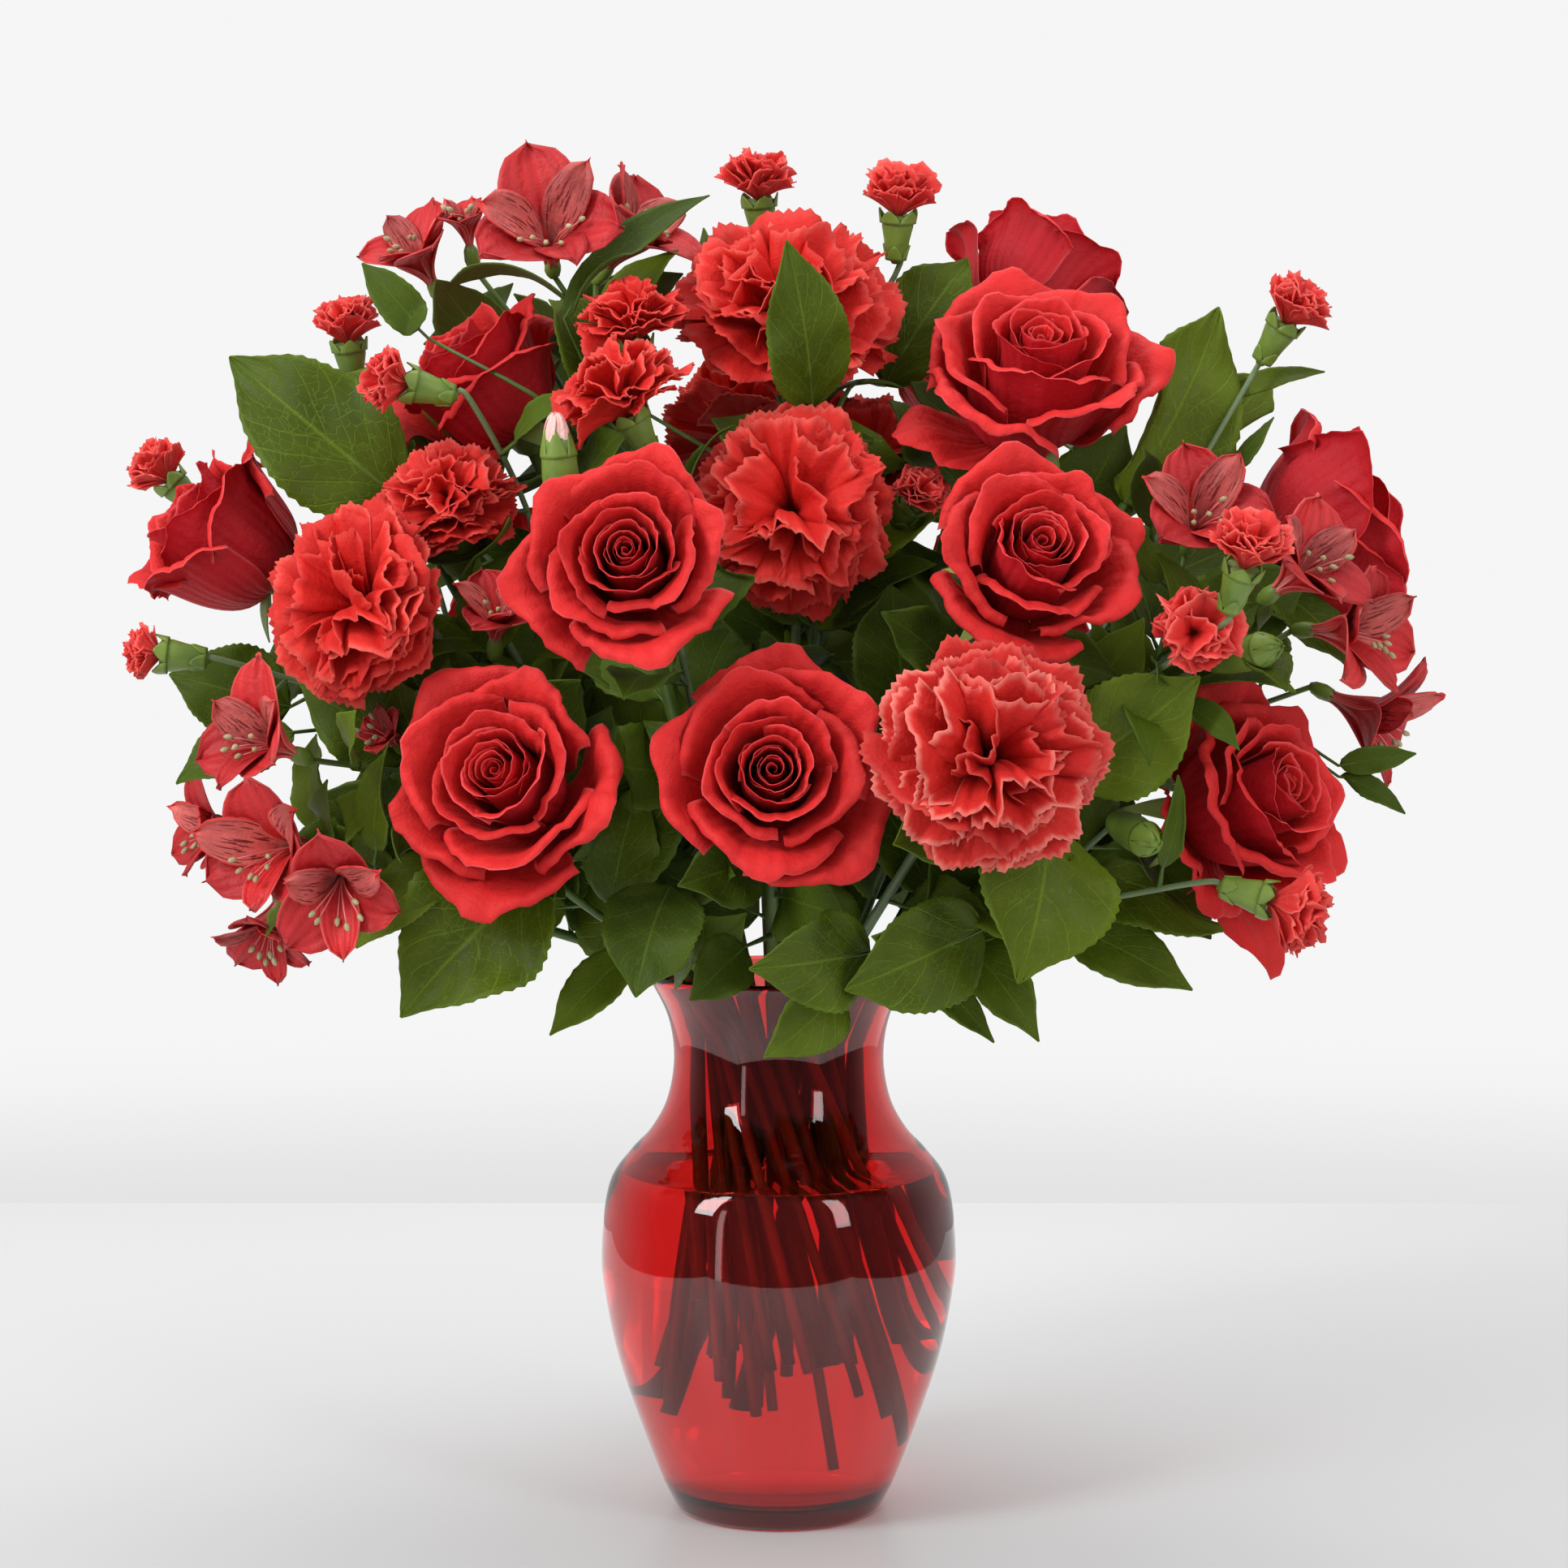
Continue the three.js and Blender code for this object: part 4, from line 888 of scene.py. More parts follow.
def carnation_petals(growth, bloom, number, finish, layers=CARNATION_LAYERS, rise=0.84, foot=0.14):
    """Layers of fans. `rise` is how high the upright ones reach and `foot` lifts them all, in radii."""
    dice = dice_of("carnation", number)
    around = dice.uniform(0, 2 * math.pi)
    grid = (17, 8) if bloom["radius"] < 18 else (31, 11)
    for k, layer in enumerate(layers):
        around += 2.1
        for petal in range(layer["petals"]):
            turn = around + 2 * math.pi * petal / layer["petals"] + dice.normal(0, 0.14)
            climb = math.radians(layer["climb"] + dice.normal(0, 6))
            far = 1 + dice.normal(0, 0.06)
            tip = (far * math.cos(climb), foot + rise * far * math.sin(climb))
            places = fan_petal(
                bloom, turn, tip, layer["half"] * dice.uniform(0.8, 1.15),
                layer["ruffle"] * dice.uniform(0.6, 1.4), layer["waves"] * dice.uniform(0.8, 1.2), dice,
                lean=layer["lean"] + dice.normal(0, 0.07), twist=dice.normal(0, 0.22), grid=grid)
            thickness = np.linspace(0.7, 0.4, len(places))
            # Inner layers are marked deeper, which darkens their foot with painted shade.
            growth.sheet(places, thickness, finish, dice.uniform(0, 1), k / len(layers))


# Alstroemerias ----------------------------------------------------------------------------------

def tepal(flower, around, tip, width, dice):
    """A tepal: a narrow claw that leaves the throat, a broad blade, and a short point at its waved end."""
    size = flower["radius"]
    cols, rows = 13, 17
    u = np.linspace(-1, 1, cols)[None, :]
    v = np.linspace(0, 1, rows)[:, None]
    bend = np.array([[0.03, -0.05], [0.06, 0.45], [0.26, 0.78], tip]) * size
    line = bezier(bend, v)
    tangent = unit(np.gradient(line, axis=0))
    end = np.clip((v - 0.6) / 0.4, 0, 1)
    taper = np.sqrt(np.maximum(1 - end ** 2.6, 0.0))
    broad = width * size * (0.16 + 0.84 * smooth(v / 0.75)) * taper + 0.25
    across = broad * u
    phase = dice.uniform(0, 6, 3)
    wave = 0.04 * size * v ** 3 * np.sin(5 * u + phase[0])
    wave = wave + 0.03 * size * v * np.sin(4 * v + 2 * u + phase[1])
    hollow = 0.42 * broad * np.abs(u) ** 1.7 * (1 - 0.55 * v) + wave - 0.10 * size * v ** 5
    point = 0.06 * size * np.exp(-((u / 0.22) ** 2)) * v ** 12
    radius = line[:, :1] - hollow * tangent[:, 1:] + point * tangent[:, :1]
    height = line[:, 1:] + hollow * tangent[:, :1] + point * tangent[:, 1:]
    return beside(flower, around, radius, across, height)


def alstroemeria_flower(growth, flower, number):
    """Three broad outer tepals, three narrow ones, of which two are streaked, and six bowed stamens."""
    dice = dice_of("alstroemeria", number)
    size = flower["radius"]
    start = math.pi / 2 + dice.normal(0, 0.5)
    wide = 1.0 if size > 17 else 0.62
    for inner in (False, True):
        for k in range(3):
            around = start + 2 * math.pi * k / 3 + (math.pi / 3 if inner else 0) + dice.normal(0, 0.1)
            spread = (0.76 if inner else 1.0) * wide * dice.uniform(0.85, 1.12)
            tip = (spread, (1.28 if inner else 1.12) * dice.uniform(0.93, 1.06))
            width = (0.31 if inner else 0.52) * (0.45 + 0.55 * wide) * dice.uniform(0.9, 1.1)
            places = tepal(flower, around, tip, width, dice)
            finish = "inner_tepal" if inner and k != 1 else "outer_tepal"
            growth.sheet(places, np.linspace(0.8, 0.4, len(places)), finish, dice.uniform(0, 1))
    for k in range(6):
        around = start + math.pi + 0.5 * (k - 2.5) + dice.normal(0, 0.1)
        reach = size * dice.uniform(0.2, 0.45)
        top = size * dice.uniform(0.85, 1.15)
        out = np.linspace(0.03, 1, 6) ** 2 * reach
        growth.tube(in_bloom(flower, np.full(6, around), out, np.linspace(0, 1, 6) * top),
                    np.linspace(0.5, 0.3, 6), "stamen", sides=4)
        anther = in_bloom(flower, np.full(4, around), reach + np.array([-0.4, 0.3, 1.2, 1.8]),
                          top + np.array([0, 0.8, 1.8, 2.6]))
        growth.tube(anther, [0.3, 1.1, 1.0, 0.3], "anther", sides=5)


def alstroemeria_hip(growth, flower):
    heights = np.array([-10, -8, -4.5, -1, 1.5])
    line = flower["base"] + heights[:, None] * flower["axis"]
    growth.tube(line, [1.3, 2.6, 3.3, 2.8, 1.4], "calyx", sides=8)


# Leaves -----------------------------------------------------------------------------------------

def leaf_blade(growth, leaf, finish, dice):
    """A leaf with toothed and waved edges, folded along its rib, which bends round any bloom in its way."""
    start, tip, width = leaf["start"], leaf["tip"], leaf["width"]
    far = length(tip - start)[0]
    along = towards(start, tip)
    middle = (0, 0, 230)  # of the bouquet's foot, which leaves face away from
    outward = unit((start + tip) / 2 - middle)
    outward[1] += -0.9 if start[1] < 30 else 0.9
    normal = unit(outward - along * (outward @ along))
    across = np.cross(along, normal)
    cols, rows = (9, 20) if width < 26 or "inner" in leaf else (15, 36)
    u = np.linspace(-1, 1, cols)[None, :]
    v = np.linspace(0, 1, rows)[:, None]
    belly = np.sin(math.pi * v ** 0.78).clip(0) ** 0.75
    half = 0.5 * width * belly * (1 - 0.45 * smooth((v - 0.72) / 0.28)) + 0.2
    teeth = np.where(np.arange(rows) % 2, 1, 0.96)[:, None]
    phase = dice.uniform(0, 6, 4)
    spread = u * half * np.where(np.abs(u) > 0.99, teeth, 1) * (1 + 0.05 * np.sin(7 * v + phase[2]))
    wave = 0.12 * np.sin(8 * v + phase[0]) + 0.06 * np.sin(17 * v + phase[1])
    pucker = 0.02 * width * np.sin(24 * v - 9 * np.abs(u) + phase[3]) * np.abs(u) * (1 - np.abs(u)) * 2
    arch = 0.1 * far * (1 - (2 * v - 1) ** 2) + (0.2 + wave * np.sign(u)) * np.abs(u) ** 1.3 * half + pucker
    bow_out = 0.06 * far * math.sin(phase[3]) * v ** 2
    places = start + along * (v * far)[..., None] + across * (spread + bow_out)[..., None]
    places = pushed_out(places + normal * arch[..., None], leaf["owner"], STEM_ROOM)
    growth.sheet(places, np.linspace(0.7, 0.45, rows), finish, dice.uniform(0, 1))
    line = leaf["stalk"]["line"] if "stalk" in leaf else np.array([start - along * 6, start])
    line = np.concatenate([curve_through(line, 5), places[1 : rows // 3 : 3, cols // 2]])
    growth.tube(line, np.linspace(1.2, 0.5, len(line)), "stem", sides=6)


def small_leaf(stem, root, start, tip, width):
    """A leaf of a coarser mesh, on a straight stalk."""
    stalk = dict(line=np.array([root, start]))
    return dict(leaf_of(stem["owner"], start, tip, width), inner=True, stalk=stalk)


def inner_leaves(growth, stem, shares, finish, dice, size=1.0, slim=1.0):
    """Leaves up a stem, each turned from the last one, which fill the bouquet between the blooms."""
    lowest, highest, widest, deepest = VASE_HEIGHT + 16, 500, 220, 145
    line = curve_through(stem["line"], 6)
    along = unit(np.gradient(line, axis=0))
    turn = dice.uniform(0, 2 * math.pi)
    for share in shares:
        k = int(share * (len(line) - 1))
        turn += GOLDEN_TURN
        side = unit(np.cross(along[k], (0.2, 0.1, 1)))
        lead = unit(side * math.cos(turn) + np.cross(along[k], side) * math.sin(turn) + 0.45 * along[k])
        start = line[k] + lead * dice.uniform(5, 9)
        tip = start + lead * size * dice.uniform(38, 52)
        if lowest < tip[2] < highest and length(tip[:2])[0] < widest and abs(tip[1]) < deepest:
            leaf = small_leaf(stem, line[k], start, tip, size * slim * dice.uniform(25, 34))
            leaf_blade(growth, leaf, finish, dice)


def fill_leaf(stem, start, tip, width):
    line = samples_of(stem["line"])[2]
    root = line[np.argmin(length(line - start))]
    return small_leaf(stem, root, start, tip, width)


# Stems and cups ---------------------------------------------------------------------------------

def stem_tube(growth, stem):
    foot = np.linspace(stem["foot"], stem["line"][0], 8)[:-1]
    line = np.concatenate([foot, curve_through(stem["line"], 6)])
    radius = stem["radius"] * np.linspace(1.06, 0.86, len(line))
    finish = "carnation_stem" if stem["kind"] in ("carnation", "spray") else "stem"
    growth.tube(line, radius, finish, sides=10)


def rose_cup(growth, rose, number):
    """The hip under a rose, with five pointed sepals that hang away from the petals."""
    dice = dice_of("sepals", number)
    heights = np.array([-11, -9.5, -7, -3.5, -1, 1.5])
    line = rose["base"] + heights[:, None] * rose["axis"]
    growth.tube(line, [2.6, 3.4, 5.4, 6.2, 6.0, 4.2], "sepal", sides=12)
    u = np.linspace(-1, 1, 7)[None, :]
    v = np.linspace(0, 1, 12)[:, None]
    for k in range(5):
        around = 2 * math.pi * k / 5 + dice.normal(0, 0.12)
        far = dice.uniform(20, 27)
        droop = dice.uniform(9, 19)
        radius = 4.5 + (far - 4.5) * v ** 0.9 + 0 * u
        height = 0.5 - 1.0 * v - droop * v ** 1.7 + 1.2 * u ** 2 * (1 - v)
        across = 4.6 * u * (1.04 - v ** 1.6) * (0.8 + 0.5 * np.sin(math.pi * v))
        places = in_bloom(rose, around + across / np.maximum(radius, 1), radius, height)
        growth.sheet(places, np.linspace(0.8, 0.5, 12), "sepal", dice.uniform(0, 1))


def carnation_cup(growth, bloom, tall, mouth, waist):
    """The green cup under a carnation, with five teeth at its mouth and four short bracts at its foot."""
    shares = np.array([-1.03, -0.93, -0.8, -0.5, -0.2, 0.04])
    line = bloom["base"] + tall * shares[:, None] * bloom["axis"]
    widths = np.array([0.3 * waist, 0.5 * waist, 0.86 * waist, waist, 0.94 * mouth, 0.9 * mouth])
    growth.tube(line, widths, "calyx", sides=14)
    u = np.linspace(-1, 1, 5)[None, :]
    v = np.linspace(0, 1, 6)[:, None]
    teeth = (-0.12, 0.3, mouth, 1.1 * mouth, 5)
    bracts = (-0.94, 0.34, 0.72 * waist, 0.98 * waist, 4)
    for low, high, inner, outer, count in (teeth, bracts):
        for k in range(count):
            around = 2 * math.pi * k / count + 0.3 * count
            radius = inner + (outer - inner) * v ** 1.2 + 0.25 + 0 * u
            height = tall * (low + high * v) + 0 * u
            turn = around + (3.1 / count) * u * (1.04 - v ** 1.8)
            growth.sheet(in_bloom(bloom, turn, radius, height), 0.6, "calyx", 0.7)


def carnation_bud(growth, bloom, number):
    """A slim green bud with five teeth. Unless it is shut, pale pink rolled petals stand out of it."""
    dice = dice_of("bud", number)
    shut = "shut" in bloom
    heights = np.array([-25, -23.5, -20, -13, -5, 2, 7, 9.5])
    line = bloom["base"] + heights[:, None] * bloom["axis"]
    mouth = [4.8, 2.2] if shut else [5.3, 4.3]
    growth.tube(line, [1.4, 3.2, 4.9, 6.1, 6.5, 6.1, *mouth], "calyx", sides=16, tint=0.8)
    u = np.linspace(-1, 1, 9)[None, :]
    v = np.linspace(0, 1, 10)[:, None]
    for k in range(5):
        turn = 2 * math.pi * k / 5
        if not shut:
            radius = 4.6 * np.sqrt(1 - 0.93 * v ** 2) + 0.5 * u
            around = turn + 0.85 * u + 0.6 * v + dice.normal(0, 0.1)
            places = in_bloom(bloom, around, radius, 4 + 13 * v - u ** 2 * v)
            growth.sheet(places, 0.5, "bud_tip", dice.uniform(0, 1))
        close = 5.3 if shut else 2.6
        around = turn + 0.62 * u * (1.05 - v ** 1.5)
        tooth = in_bloom(bloom, around, 6.3 - close * v ** 1.4 + 0 * u, 2 + 10 * v + 0 * u)
        growth.sheet(tooth, 0.6, "calyx", 0.9)


# Glass and water --------------------------------------------------------------------------------

def spun(name, profile):
    """A solid of revolution, spun in edit mode from a profile of (radius, height) from axis to axis."""
    steps = 128
    mesh = bpy.data.meshes.new(name)
    points = [(r * MM, 0, z * MM) for r, z in profile]
    mesh.from_pydata(points, [(k, k + 1) for k in range(len(points) - 1)], [])
    piece = bpy.data.objects.new(name, mesh)
    bpy.context.scene.collection.objects.link(piece)
    bpy.ops.object.select_all(action="DESELECT")
    piece.select_set(True)
    bpy.context.view_layer.objects.active = piece
    bpy.ops.object.mode_set(mode="EDIT")
    bpy.ops.mesh.select_all(action="SELECT")
    bpy.ops.mesh.spin(steps=steps, angle=2 * math.pi, center=(0, 0, 0), axis=(0, 0, 1))
    bpy.ops.mesh.select_all(action="SELECT")
    bpy.ops.mesh.remove_doubles(threshold=1e-6)
    bpy.ops.mesh.normals_make_consistent(inside=False)
    bpy.ops.object.mode_set(mode="OBJECT")
    bpy.ops.object.shade_smooth_by_angle(angle=math.radians(50))
    piece.select_set(False)
    return piece


def inside_points():
    return [(FLOOR_RADIUS, FLOOR)] + [(r - WALL, z) for r, z in VASE_OUTSIDE[2:]]


def make_vase():
    outer = curve_through(VASE_OUTSIDE[1:], 6)
    inner = curve_through(inside_points(), 6)[::-1]
    lip = [(49.0, 204.2), (47.9, 204.6), (46.9, 204.2)]
    foot = [(0, 1.6), (26, 1.2), (32, 0.2), (35, 0), (37.6, 0.3), (39.4, 1.2)]
    floor = [(32, FLOOR - 0.4), (20, FLOOR - 0.6), (0, FLOOR - 0.6)]
    piece = spun("ruby_vase", [*foot, *map(tuple, outer), *lip, *map(tuple, inner), *floor])
    piece.data.materials.append(FINISHES["ruby_glass"])
    settle(piece, "vase_glass", "vase")


def make_water():
    """The water, whose side lies just inside the glass and whose top climbs it a little."""
    climb = [(0.3, 1.3), (-0.8, 0.5), (-2.2, 0.1)]
    inner = curve_through(inside_points(), 6)
    side = [(r + 0.2, z) for r, z in inner if z < WATER_TOP - 1]
    edge = np.interp(WATER_TOP, inner[:, 1], inner[:, 0]) + 0.2
    top = [*((edge + out, WATER_TOP + up) for out, up in climb), (0, WATER_TOP)]
    piece = spun("water_in_vase", [(0, FLOOR - 0.8), (31, FLOOR - 0.8), *side, *top])
    piece.data.materials.append(FINISHES["water"])
    settle(piece, "water", "water")


# Finishes ---------------------------------------------------------------------------------------

def new_finish(name):
    finish = bpy.data.materials.new(name)
    finish.use_nodes = True
    return finish, Wiring(finish.node_tree), finish.node_tree.nodes["Principled BSDF"]


def new_group(name, inputs, outputs):
    """A node group: its tree, the wiring of it, and the sockets that it is given and gives."""
    tree = bpy.data.node_groups.new(name, "ShaderNodeTree")
    for label, number in inputs.items():
        tree.interface.new_socket(label, in_out="INPUT", socket_type="NodeSocketFloat").default_value = number
    for label in outputs:
        tree.interface.new_socket(label, in_out="OUTPUT", socket_type="NodeSocketFloat")
    return tree, Wiring(tree), tree.nodes.new("NodeGroupInput").outputs, tree.nodes.new("NodeGroupOutput")


def petal_veins():
    """Fine veins that fan out along a petal, and short flecks in the middle of it, from its UV."""
    tree, w, given, out = new_group("petal_veins", {"Count": 60.0, "Wobble": 0.6}, ["Veins", "Flecks"])
    uv = w.weave()
    split = w.add("ShaderNodeSeparateXYZ", _0=uv).outputs
    noise = w.noise(uv, 7.0, 2.0)
    across = w.math("MULTIPLY_ADD", split[0], given["Count"], w.times(noise, given["Wobble"]))
    lines = w.math("SINE", across)
    w.feed(out.inputs["Veins"], w.math("MULTIPLY_ADD", lines, 0.5, 0.5))
    grid = w.add("ShaderNodeMapping", Vector=uv, Scale=(17.0, 5.0, 1.0)).outputs[0]
    dashes = w.noise(grid, 1.0, 1.0)
    middle = w.times(w.ramp(split[1], 0.3, 0.42), w.ramp(split[1], 0.93, 0.78))
    w.feed(out.inputs["Flecks"], w.times(w.ramp(dashes, 0.56, 0.60), middle))
    return tree


def leaf_veins():
    """The rib, the side veins and the fine net of a leaf, from its UV."""
    values = {"Pairs": 6.0, "Slant": 0.5, "Width": 0.055}
    tree, w, given, out = new_group("leaf_veins", values, ["Veins", "Net"])
    uv = w.weave()
    split = w.add("ShaderNodeSeparateXYZ", _0=uv).outputs
    noise = w.noise(uv, 4.0, 2.0)
    off = w.math("ABSOLUTE", w.math("MULTIPLY_ADD", split[0], 2.0, -1.0))
    rib = w.ramp(off, 0.0, given["Width"], 1.0, 0.0)
    rise = w.times(w.math("POWER", off, 0.8), given["Slant"])
    level = w.math("SUBTRACT", w.math("MULTIPLY_ADD", noise, 0.05, split[1]), rise)
    saw = w.math("FRACT", w.times(level, given["Pairs"]))
    near = w.math("ABSOLUTE", w.math("SUBTRACT", saw, 0.5))
    side = w.ramp(near, 0.0, given["Width"], 0.85, 0.0)
    cells = w.add("ShaderNodeTexVoronoi", [("feature", "DISTANCE_TO_EDGE")], Vector=uv, Scale=17.0)
    net = w.ramp(cells.outputs["Distance"], 0.0, 0.07, 1.0, 0.0)
    w.feed(out.inputs["Veins"], w.math("MAXIMUM", rib, side))
    w.feed(out.inputs["Net"], net)
    return tree


def marks_of(w):
    """The margin, depth, tint and side that the mesh is marked with."""
    node = w.add("ShaderNodeAttribute", [("attribute_name", "marks")])
    split = w.add("ShaderNodeSeparateColor", _0=node.outputs["Color"]).outputs
    return split[0], split[1], split[2], node.outputs["Alpha"]


def petal_finish(name, deep, bright, outer, rim, foot_colour_and_painted_shade, count, rim_and_painted_highlight_share, streak=0.12, flecks=0.0, gloss=0.2):
    """Soft petals: a shade each, fine veins, dark flecks, and a paler rim and a foot colour, partly painted
    light.
    """
    finish, w, shader = new_finish(name)
    margin, depth, tint, side = marks_of(w)
    place = w.place()
    cloud = w.noise(place, 55.0, 3.0)
    grain = w.noise(place, 900.0, 2.0)
    crease = w.noise(place, 200.0, 5.0, 0.6)
    uv = w.weave()
    along = w.add("ShaderNodeSeparateXYZ", _0=uv).outputs[1]
    shade = w.math("MULTIPLY_ADD", tint, 0.6, w.math("MULTIPLY_ADD", cloud, 1.1, -0.3))
    colour = w.mix(shade, deep, bright)
    colour = w.mix(w.times(side, 0.75), colour, outer)
    lines = w.add("ShaderNodeGroup", [("node_tree", PETAL_VEINS)], Count=count).outputs
    colour = w.mix(w.times(lines["Veins"], streak), colour, deep)
    # The foot's colour, stronger deeper in the bloom: painted shade where it is dark, the petal's own colour
    # where pale.
    foot = w.ramp(along, 0.0, 0.5, 0.85, 0.0)
    colour = w.mix(w.times(foot, w.math("MULTIPLY_ADD", depth, 0.5, 0.5)), colour, foot_colour_and_painted_shade)
    # A pale rim: partly the petals' own paler edge, partly a painted highlight along the folded margins.
    edge = w.times(w.ramp(margin, 0.45, 1.0), w.ramp(tint, 0.0, 1.0, 0.25, 1.5))
    colour = w.mix(w.times(edge, rim_and_painted_highlight_share), colour, rim)
    if flecks:
        colour = w.mix(w.times(lines["Flecks"], flecks), colour, deep)
    w.feed(shader.inputs["Base Color"], colour)
    w.feed(shader.inputs["Roughness"], w.math("MULTIPLY_ADD", grain, 0.2, 0.58 - 0.4 * gloss))
    height = w.math("MULTIPLY_ADD", lines["Veins"], 0.3, w.math("MULTIPLY_ADD", grain, 0.3, crease))
    w.bump(shader, height, 0.7, 0.0011)
    set_sockets(
        shader, Specular_IOR_Level=gloss, Sheen_Weight=0.09, Sheen_Roughness=0.4, Sheen_Tint=rim,
        Subsurface_Weight=0.1, Subsurface_Radius=(1.0, 0.2, 0.15), Subsurface_Scale=0.002)
    return finish


def leaf_finish(name, deep, fresh, pale, under, pairs, slant, rough):
    """Leaves with a pale rib, pairs of slanting side veins, a fine net and an underside of its own green."""
    finish, w, shader = new_finish(name)
    margin, _, tint, side = marks_of(w)
    cloud = w.noise(w.place(), 38.0, 4.0)
    lines = w.add("ShaderNodeGroup", [("node_tree", LEAF_VEINS)], Pairs=pairs, Slant=slant).outputs
    shade = w.math("MULTIPLY_ADD", tint, 0.5, w.math("MULTIPLY_ADD", cloud, 1.1, -0.35))
    colour = w.mix(shade, deep, fresh)
    colour = w.mix(w.times(lines["Net"], 0.16), colour, pale)
    colour = w.mix(w.times(lines["Veins"], 0.3), colour, pale)
    colour = w.mix(w.times(margin, 0.2), colour, pale)
    back = w.mix(w.times(lines["Veins"], 0.4), under, pale)
    colour = w.mix(w.math("SUBTRACT", 1.0, side), colour, back)
    w.feed(shader.inputs["Base Color"], colour)
    w.feed(shader.inputs["Roughness"], w.math("MULTIPLY_ADD", cloud, 0.2, rough))
    height = w.math("ADD", w.times(lines["Veins"], -1.0), w.times(lines["Net"], -0.35))
    w.bump(shader, height, 0.5, 0.0006)
    set_sockets(
        shader, Specular_IOR_Level=0.18, Subsurface_Weight=0.08, Subsurface_Radius=(0.6, 1.0, 0.2),
        Subsurface_Scale=0.001)
    return finish


def stem_finish(name, deep, fresh, wax=0.0):
    """Stems, cups and stamens: two shades in clouds, a fine grain, and a pale waxy bloom on some."""
    finish, w, shader = new_finish(name)
    tint = marks_of(w)[2]
    place = w.place()
    cloud = w.noise(place, 70.0, 4.0)
    fine = w.noise(place, 600.0, 2.0)
    colour = w.mix(w.math("MULTIPLY_ADD", tint, 0.4, w.math("MULTIPLY_ADD", cloud, 1.4, -0.5)), deep, fresh)
    waxy = (0.45, 0.52, 0.4, 1)
    w.feed(shader.inputs["Base Color"], w.mix(w.times(fine, wax), colour, waxy))
    w.feed(shader.inputs["Roughness"], w.math("MULTIPLY_ADD", fine, 0.3, 0.3))
    w.bump(shader, fine, 0.25, 0.0004)
    return finish


def clear_finish(name, colour, shadow, ior, inside=(1, 1, 1, 1), density=0.0):
    """Clear glass or water, which lets the studio's light through to what stands behind it."""
    finish, w, shader = new_finish(name)
    w.bump(shader, w.noise(w.place(), 14.0, 1.0), 0.12, 0.0008)
    set_sockets(shader, Base_Color=colour, Roughness=0.0, IOR=ior, Transmission_Weight=1.0)
    clear = w.add("ShaderNodeBsdfTransparent", Color=shadow).outputs[0]
    path = w.add("ShaderNodeLightPath").outputs["Is Shadow Ray"]
    mixed = w.add("ShaderNodeMixShader", _0=path, _1=shader.outputs[0], _2=clear).outputs[0]
    end = finish.node_tree.nodes["Material Output"]
    w.feed(end.inputs["Surface"], mixed)
    if density:
        volume = w.add("ShaderNodeVolumeAbsorption", Color=inside, Density=density)
        w.feed(end.inputs["Volume"], volume.outputs[0])
    return finish


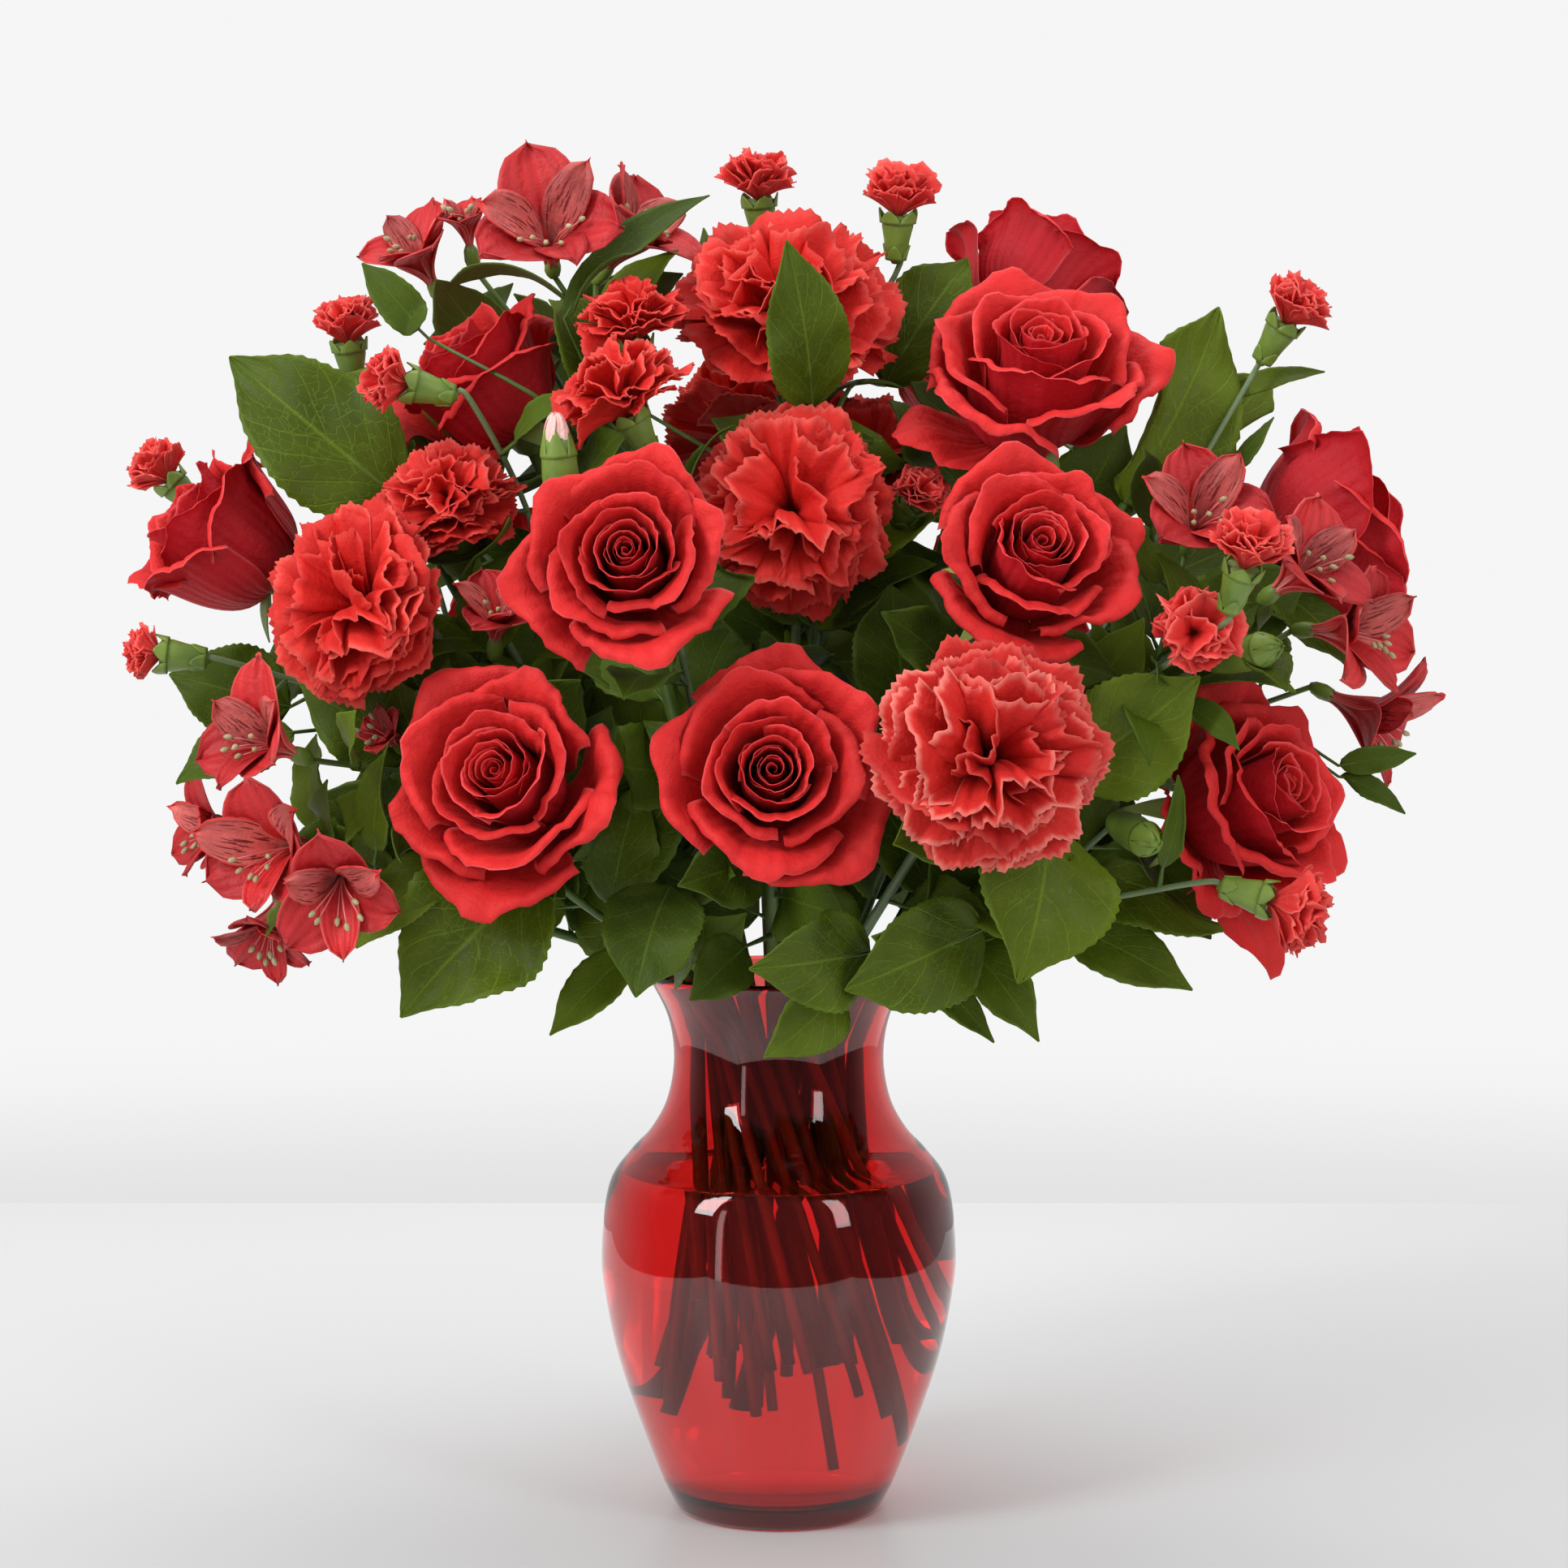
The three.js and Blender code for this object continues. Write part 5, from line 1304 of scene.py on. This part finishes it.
PETAL_VEINS = petal_veins()
LEAF_VEINS = leaf_veins()
# Where a petal finish's foot colour is dark, as in roses and carnations, it is painted shade deep in the
# bloom.
FINISHES = {
    # A petal finish's pale rim colour is partly a painted highlight along the folded margins.
    "rose_petal": petal_finish(
        "rose_velvet", (0.48, 0.012, 0.012, 1), (0.76, 0.028, 0.028, 1), (0.42, 0.009, 0.020, 1),
        (0.80, 0.13, 0.14, 1), (0.26, 0.003, 0.004, 1), count=70.0, rim_and_painted_highlight_share=0.35),
    "carnation_petal": petal_finish(
        "carnation_silk", (0.52, 0.012, 0.010, 1), (0.76, 0.034, 0.026, 1), (0.62, 0.020, 0.015, 1),
        (0.86, 0.17, 0.13, 1), (0.34, 0.006, 0.005, 1), count=44.0, rim_and_painted_highlight_share=0.35),
    "edged_petal": petal_finish(
        "pale_edged_carnation_silk", (0.44, 0.009, 0.008, 1), (0.64, 0.025, 0.019, 1),
        (0.54, 0.016, 0.012, 1), (0.88, 0.30, 0.24, 1), (0.32, 0.006, 0.005, 1), count=44.0, rim_and_painted_highlight_share=0.42),
    "mini_petal": petal_finish(
        "mini_carnation_silk", (0.54, 0.020, 0.018, 1), (0.84, 0.060, 0.052, 1), (0.68, 0.040, 0.036, 1),
        (0.88, 0.22, 0.18, 1), (0.45, 0.02, 0.02, 1), count=30.0, rim_and_painted_highlight_share=0.3),
    "bud_tip": petal_finish(
        "bud_tip_pink", (0.72, 0.20, 0.22, 1), (0.88, 0.66, 0.60, 1), (0.88, 0.62, 0.56, 1),
        (0.75, 0.16, 0.20, 1), (0.74, 0.68, 0.40, 1), count=20.0, rim_and_painted_highlight_share=0.8),
    "outer_tepal": petal_finish(
        "alstroemeria_coral", (0.30, 0.006, 0.010, 1), (0.70, 0.026, 0.028, 1), (0.42, 0.010, 0.016, 1),
        (0.78, 0.15, 0.13, 1), (0.76, 0.20, 0.17, 1), count=36.0, rim_and_painted_highlight_share=0.3, streak=0.3,
        gloss=0.35),
    "inner_tepal": petal_finish(
        "alstroemeria_streaked", (0.12, 0.003, 0.006, 1), (0.84, 0.17, 0.15, 1), (0.44, 0.014, 0.020, 1),
        (0.66, 0.026, 0.028, 1), (0.93, 0.72, 0.66, 1), count=26.0, rim_and_painted_highlight_share=0.9, streak=0.1,
        flecks=0.85, gloss=0.35),
    "salal_leaf": leaf_finish(
        "salal_green", (0.034, 0.056, 0.002, 1), (0.122, 0.172, 0.005, 1), (0.20, 0.33, 0.02, 1),
        (0.085, 0.140, 0.020, 1), 6.0, 0.42, 0.36),
    "rose_leaf": leaf_finish(
        "rose_leaf_green", (0.026, 0.046, 0.002, 1), (0.086, 0.136, 0.005, 1), (0.15, 0.26, 0.02, 1),
        (0.075, 0.125, 0.025, 1), 8.0, 0.36, 0.4),
    "stem": stem_finish("green_stem", (0.030, 0.070, 0.008, 1), (0.11, 0.19, 0.025, 1)),
    "carnation_stem": stem_finish("carnation_stem_green", (0.06, 0.11, 0.035, 1), (0.15, 0.23, 0.07, 1), 0.2),
    "calyx": stem_finish("carnation_cup_green", (0.055, 0.115, 0.008, 1), (0.22, 0.33, 0.035, 1), 0.04),
    "sepal": stem_finish("sepal_green", (0.09, 0.16, 0.015, 1), (0.34, 0.42, 0.09, 1), 0.05),
    "stamen": stem_finish("stamen_pink", (0.60, 0.08, 0.08, 1), (0.80, 0.30, 0.28, 1)),
    "anther": stem_finish("anther_pale", (0.22, 0.20, 0.08, 1), (0.60, 0.52, 0.32, 1)),
    "ruby_glass": clear_finish(
        "ruby_glass", (0.83, 0.275, 0.275, 1), (0.78, 0.72, 0.72, 1), 1.5, (0.92, 0.10, 0.10, 1), 400.0),
    "water": clear_finish("clear_water", (1.0, 0.99, 0.99, 1), (1, 1, 1, 1), 1.33),
}


# Assembly ---------------------------------------------------------------------------------------

def twigs_of(owner):
    return [twig for twig in branches if twig["owner"] == owner]


def leaves_of(growth, owner, finish, shares):
    """The leaves that the layout gives a stem, smaller ones at shares of its way up, and its fill leaves."""
    dice = dice_of("leaves", sum(map(ord, owner)))
    for leaf in leaves:
        if leaf["owner"] == owner:
            leaf_blade(growth, leaf, finish, dice)
    inner_leaves(growth, stems[owner], shares, finish, dice)
    for row in FILL_LEAVES.get(owner, ()):
        leaf_blade(growth, fill_leaf(stems[owner], *row), finish, dice)


place_camera()
light_studio()
lay_table()
for number, (name, rose) in enumerate(roses.items()):
    petals = Growth()
    rose_petals(petals, rose, number)
    petals.piece(f"rose_{name}_petals", "rose_petals", f"rose_{name}_bloom")
    green = Growth()
    stem_tube(green, stems[rose["owner"]])
    rose_cup(green, rose, number)
    leaves_of(green, rose["owner"], "rose_leaf", (0.3, 0.4, 0.5, 0.6, 0.68, 0.76, 0.83, 0.89))
    green.piece(f"rose_{name}_greenery", "stems", rose["owner"])
for number, (name, bloom) in enumerate(carnations.items()):
    petals = Growth()
    carnation_petals(petals, bloom, number, bloom.get("finish", "carnation_petal"))
    petals.piece(f"carnation_{name}_petals", "carnation_petals", f"carnation_{name}_bloom")
    green = Growth()
    stem_tube(green, stems[bloom["owner"]])
    mouth = 7.5 if bloom["radius"] > 26 else 6
    carnation_cup(green, bloom, CUP_LENGTH["carnation"], mouth, 6)
    leaves_of(green, bloom["owner"], "salal_leaf", (0.55, 0.7, 0.8, 0.88))
    green.piece(f"carnation_{name}_greenery", "stems", bloom["owner"])
for number, (owner, heads) in enumerate(sprays.items()):
    spray = Growth()
    dice = dice_of("spray_twigs", number)
    stem_tube(spray, stems[owner])
    for k, head in enumerate(heads):
        seed = 40 + 10 * number + k
        if head.get("bud"):
            carnation_bud(spray, head, seed)
        else:
            carnation_cup(spray, head, MINI_CUP, 6.4, 4.9)
            if head["radius"] > 18:
                upright = CARNATION_LAYERS[2:]
                carnation_petals(spray, head, seed, "carnation_petal", upright, rise=0.9, foot=0.1)
            else:
                carnation_petals(spray, head, seed, "mini_petal", MINI_LAYERS, rise=1.15, foot=0.22)
    for head, twig in zip(heads, twigs_of(owner)):
        cup = [] if head.get("bud") else [head["base"] - 0.9 * MINI_CUP * head["axis"]]
        spray.tube(curve_through([*twig["line"], *cup], 5), twig["radius"], "carnation_stem", sides=7)
        inner_leaves(spray, twig, (0.25, 0.5, 0.75), "rose_leaf", dice, 0.75, 0.55)
    leaves_of(spray, owner, "rose_leaf", (0.6, 0.72, 0.83, 0.93))
    spray.piece(f"{owner}_spray", "carnation_petals", owner)
for number, (owner, flowers) in enumerate(alstroemerias.items()):
    plant = Growth()
    dice = dice_of("alstroemeria_twigs", number)
    stem_tube(plant, stems[owner])
    for k, flower in enumerate(flowers):
        alstroemeria_flower(plant, flower, 10 * number + k)
        alstroemeria_hip(plant, flower)
    for twig in twigs_of(owner):
        plant.tube(curve_through(twig["line"], 5), twig["radius"], "stem", sides=7)
        inner_leaves(plant, twig, (0.2, 0.4, 0.6, 0.8), "salal_leaf", dice, 0.85, 0.75)
    leaves_of(plant, owner, "rose_leaf", (0.6, 0.7, 0.8, 0.89, 0.97))
    plant.piece(f"{owner}_flowers", "alstroemeria_tepals", owner)
for name in SALAL:
    plant = Growth()
    stem_tube(plant, stems[f"salal_{name}"])
    leaves_of(plant, f"salal_{name}", "salal_leaf", (0.35, 0.45, 0.55, 0.65, 0.75, 0.85))
    plant.piece(f"salal_{name}_leaves", "salal_leaves", f"salal_{name}")
make_vase()
make_water()
bpy.context.scene.view_settings.view_transform = "Standard"
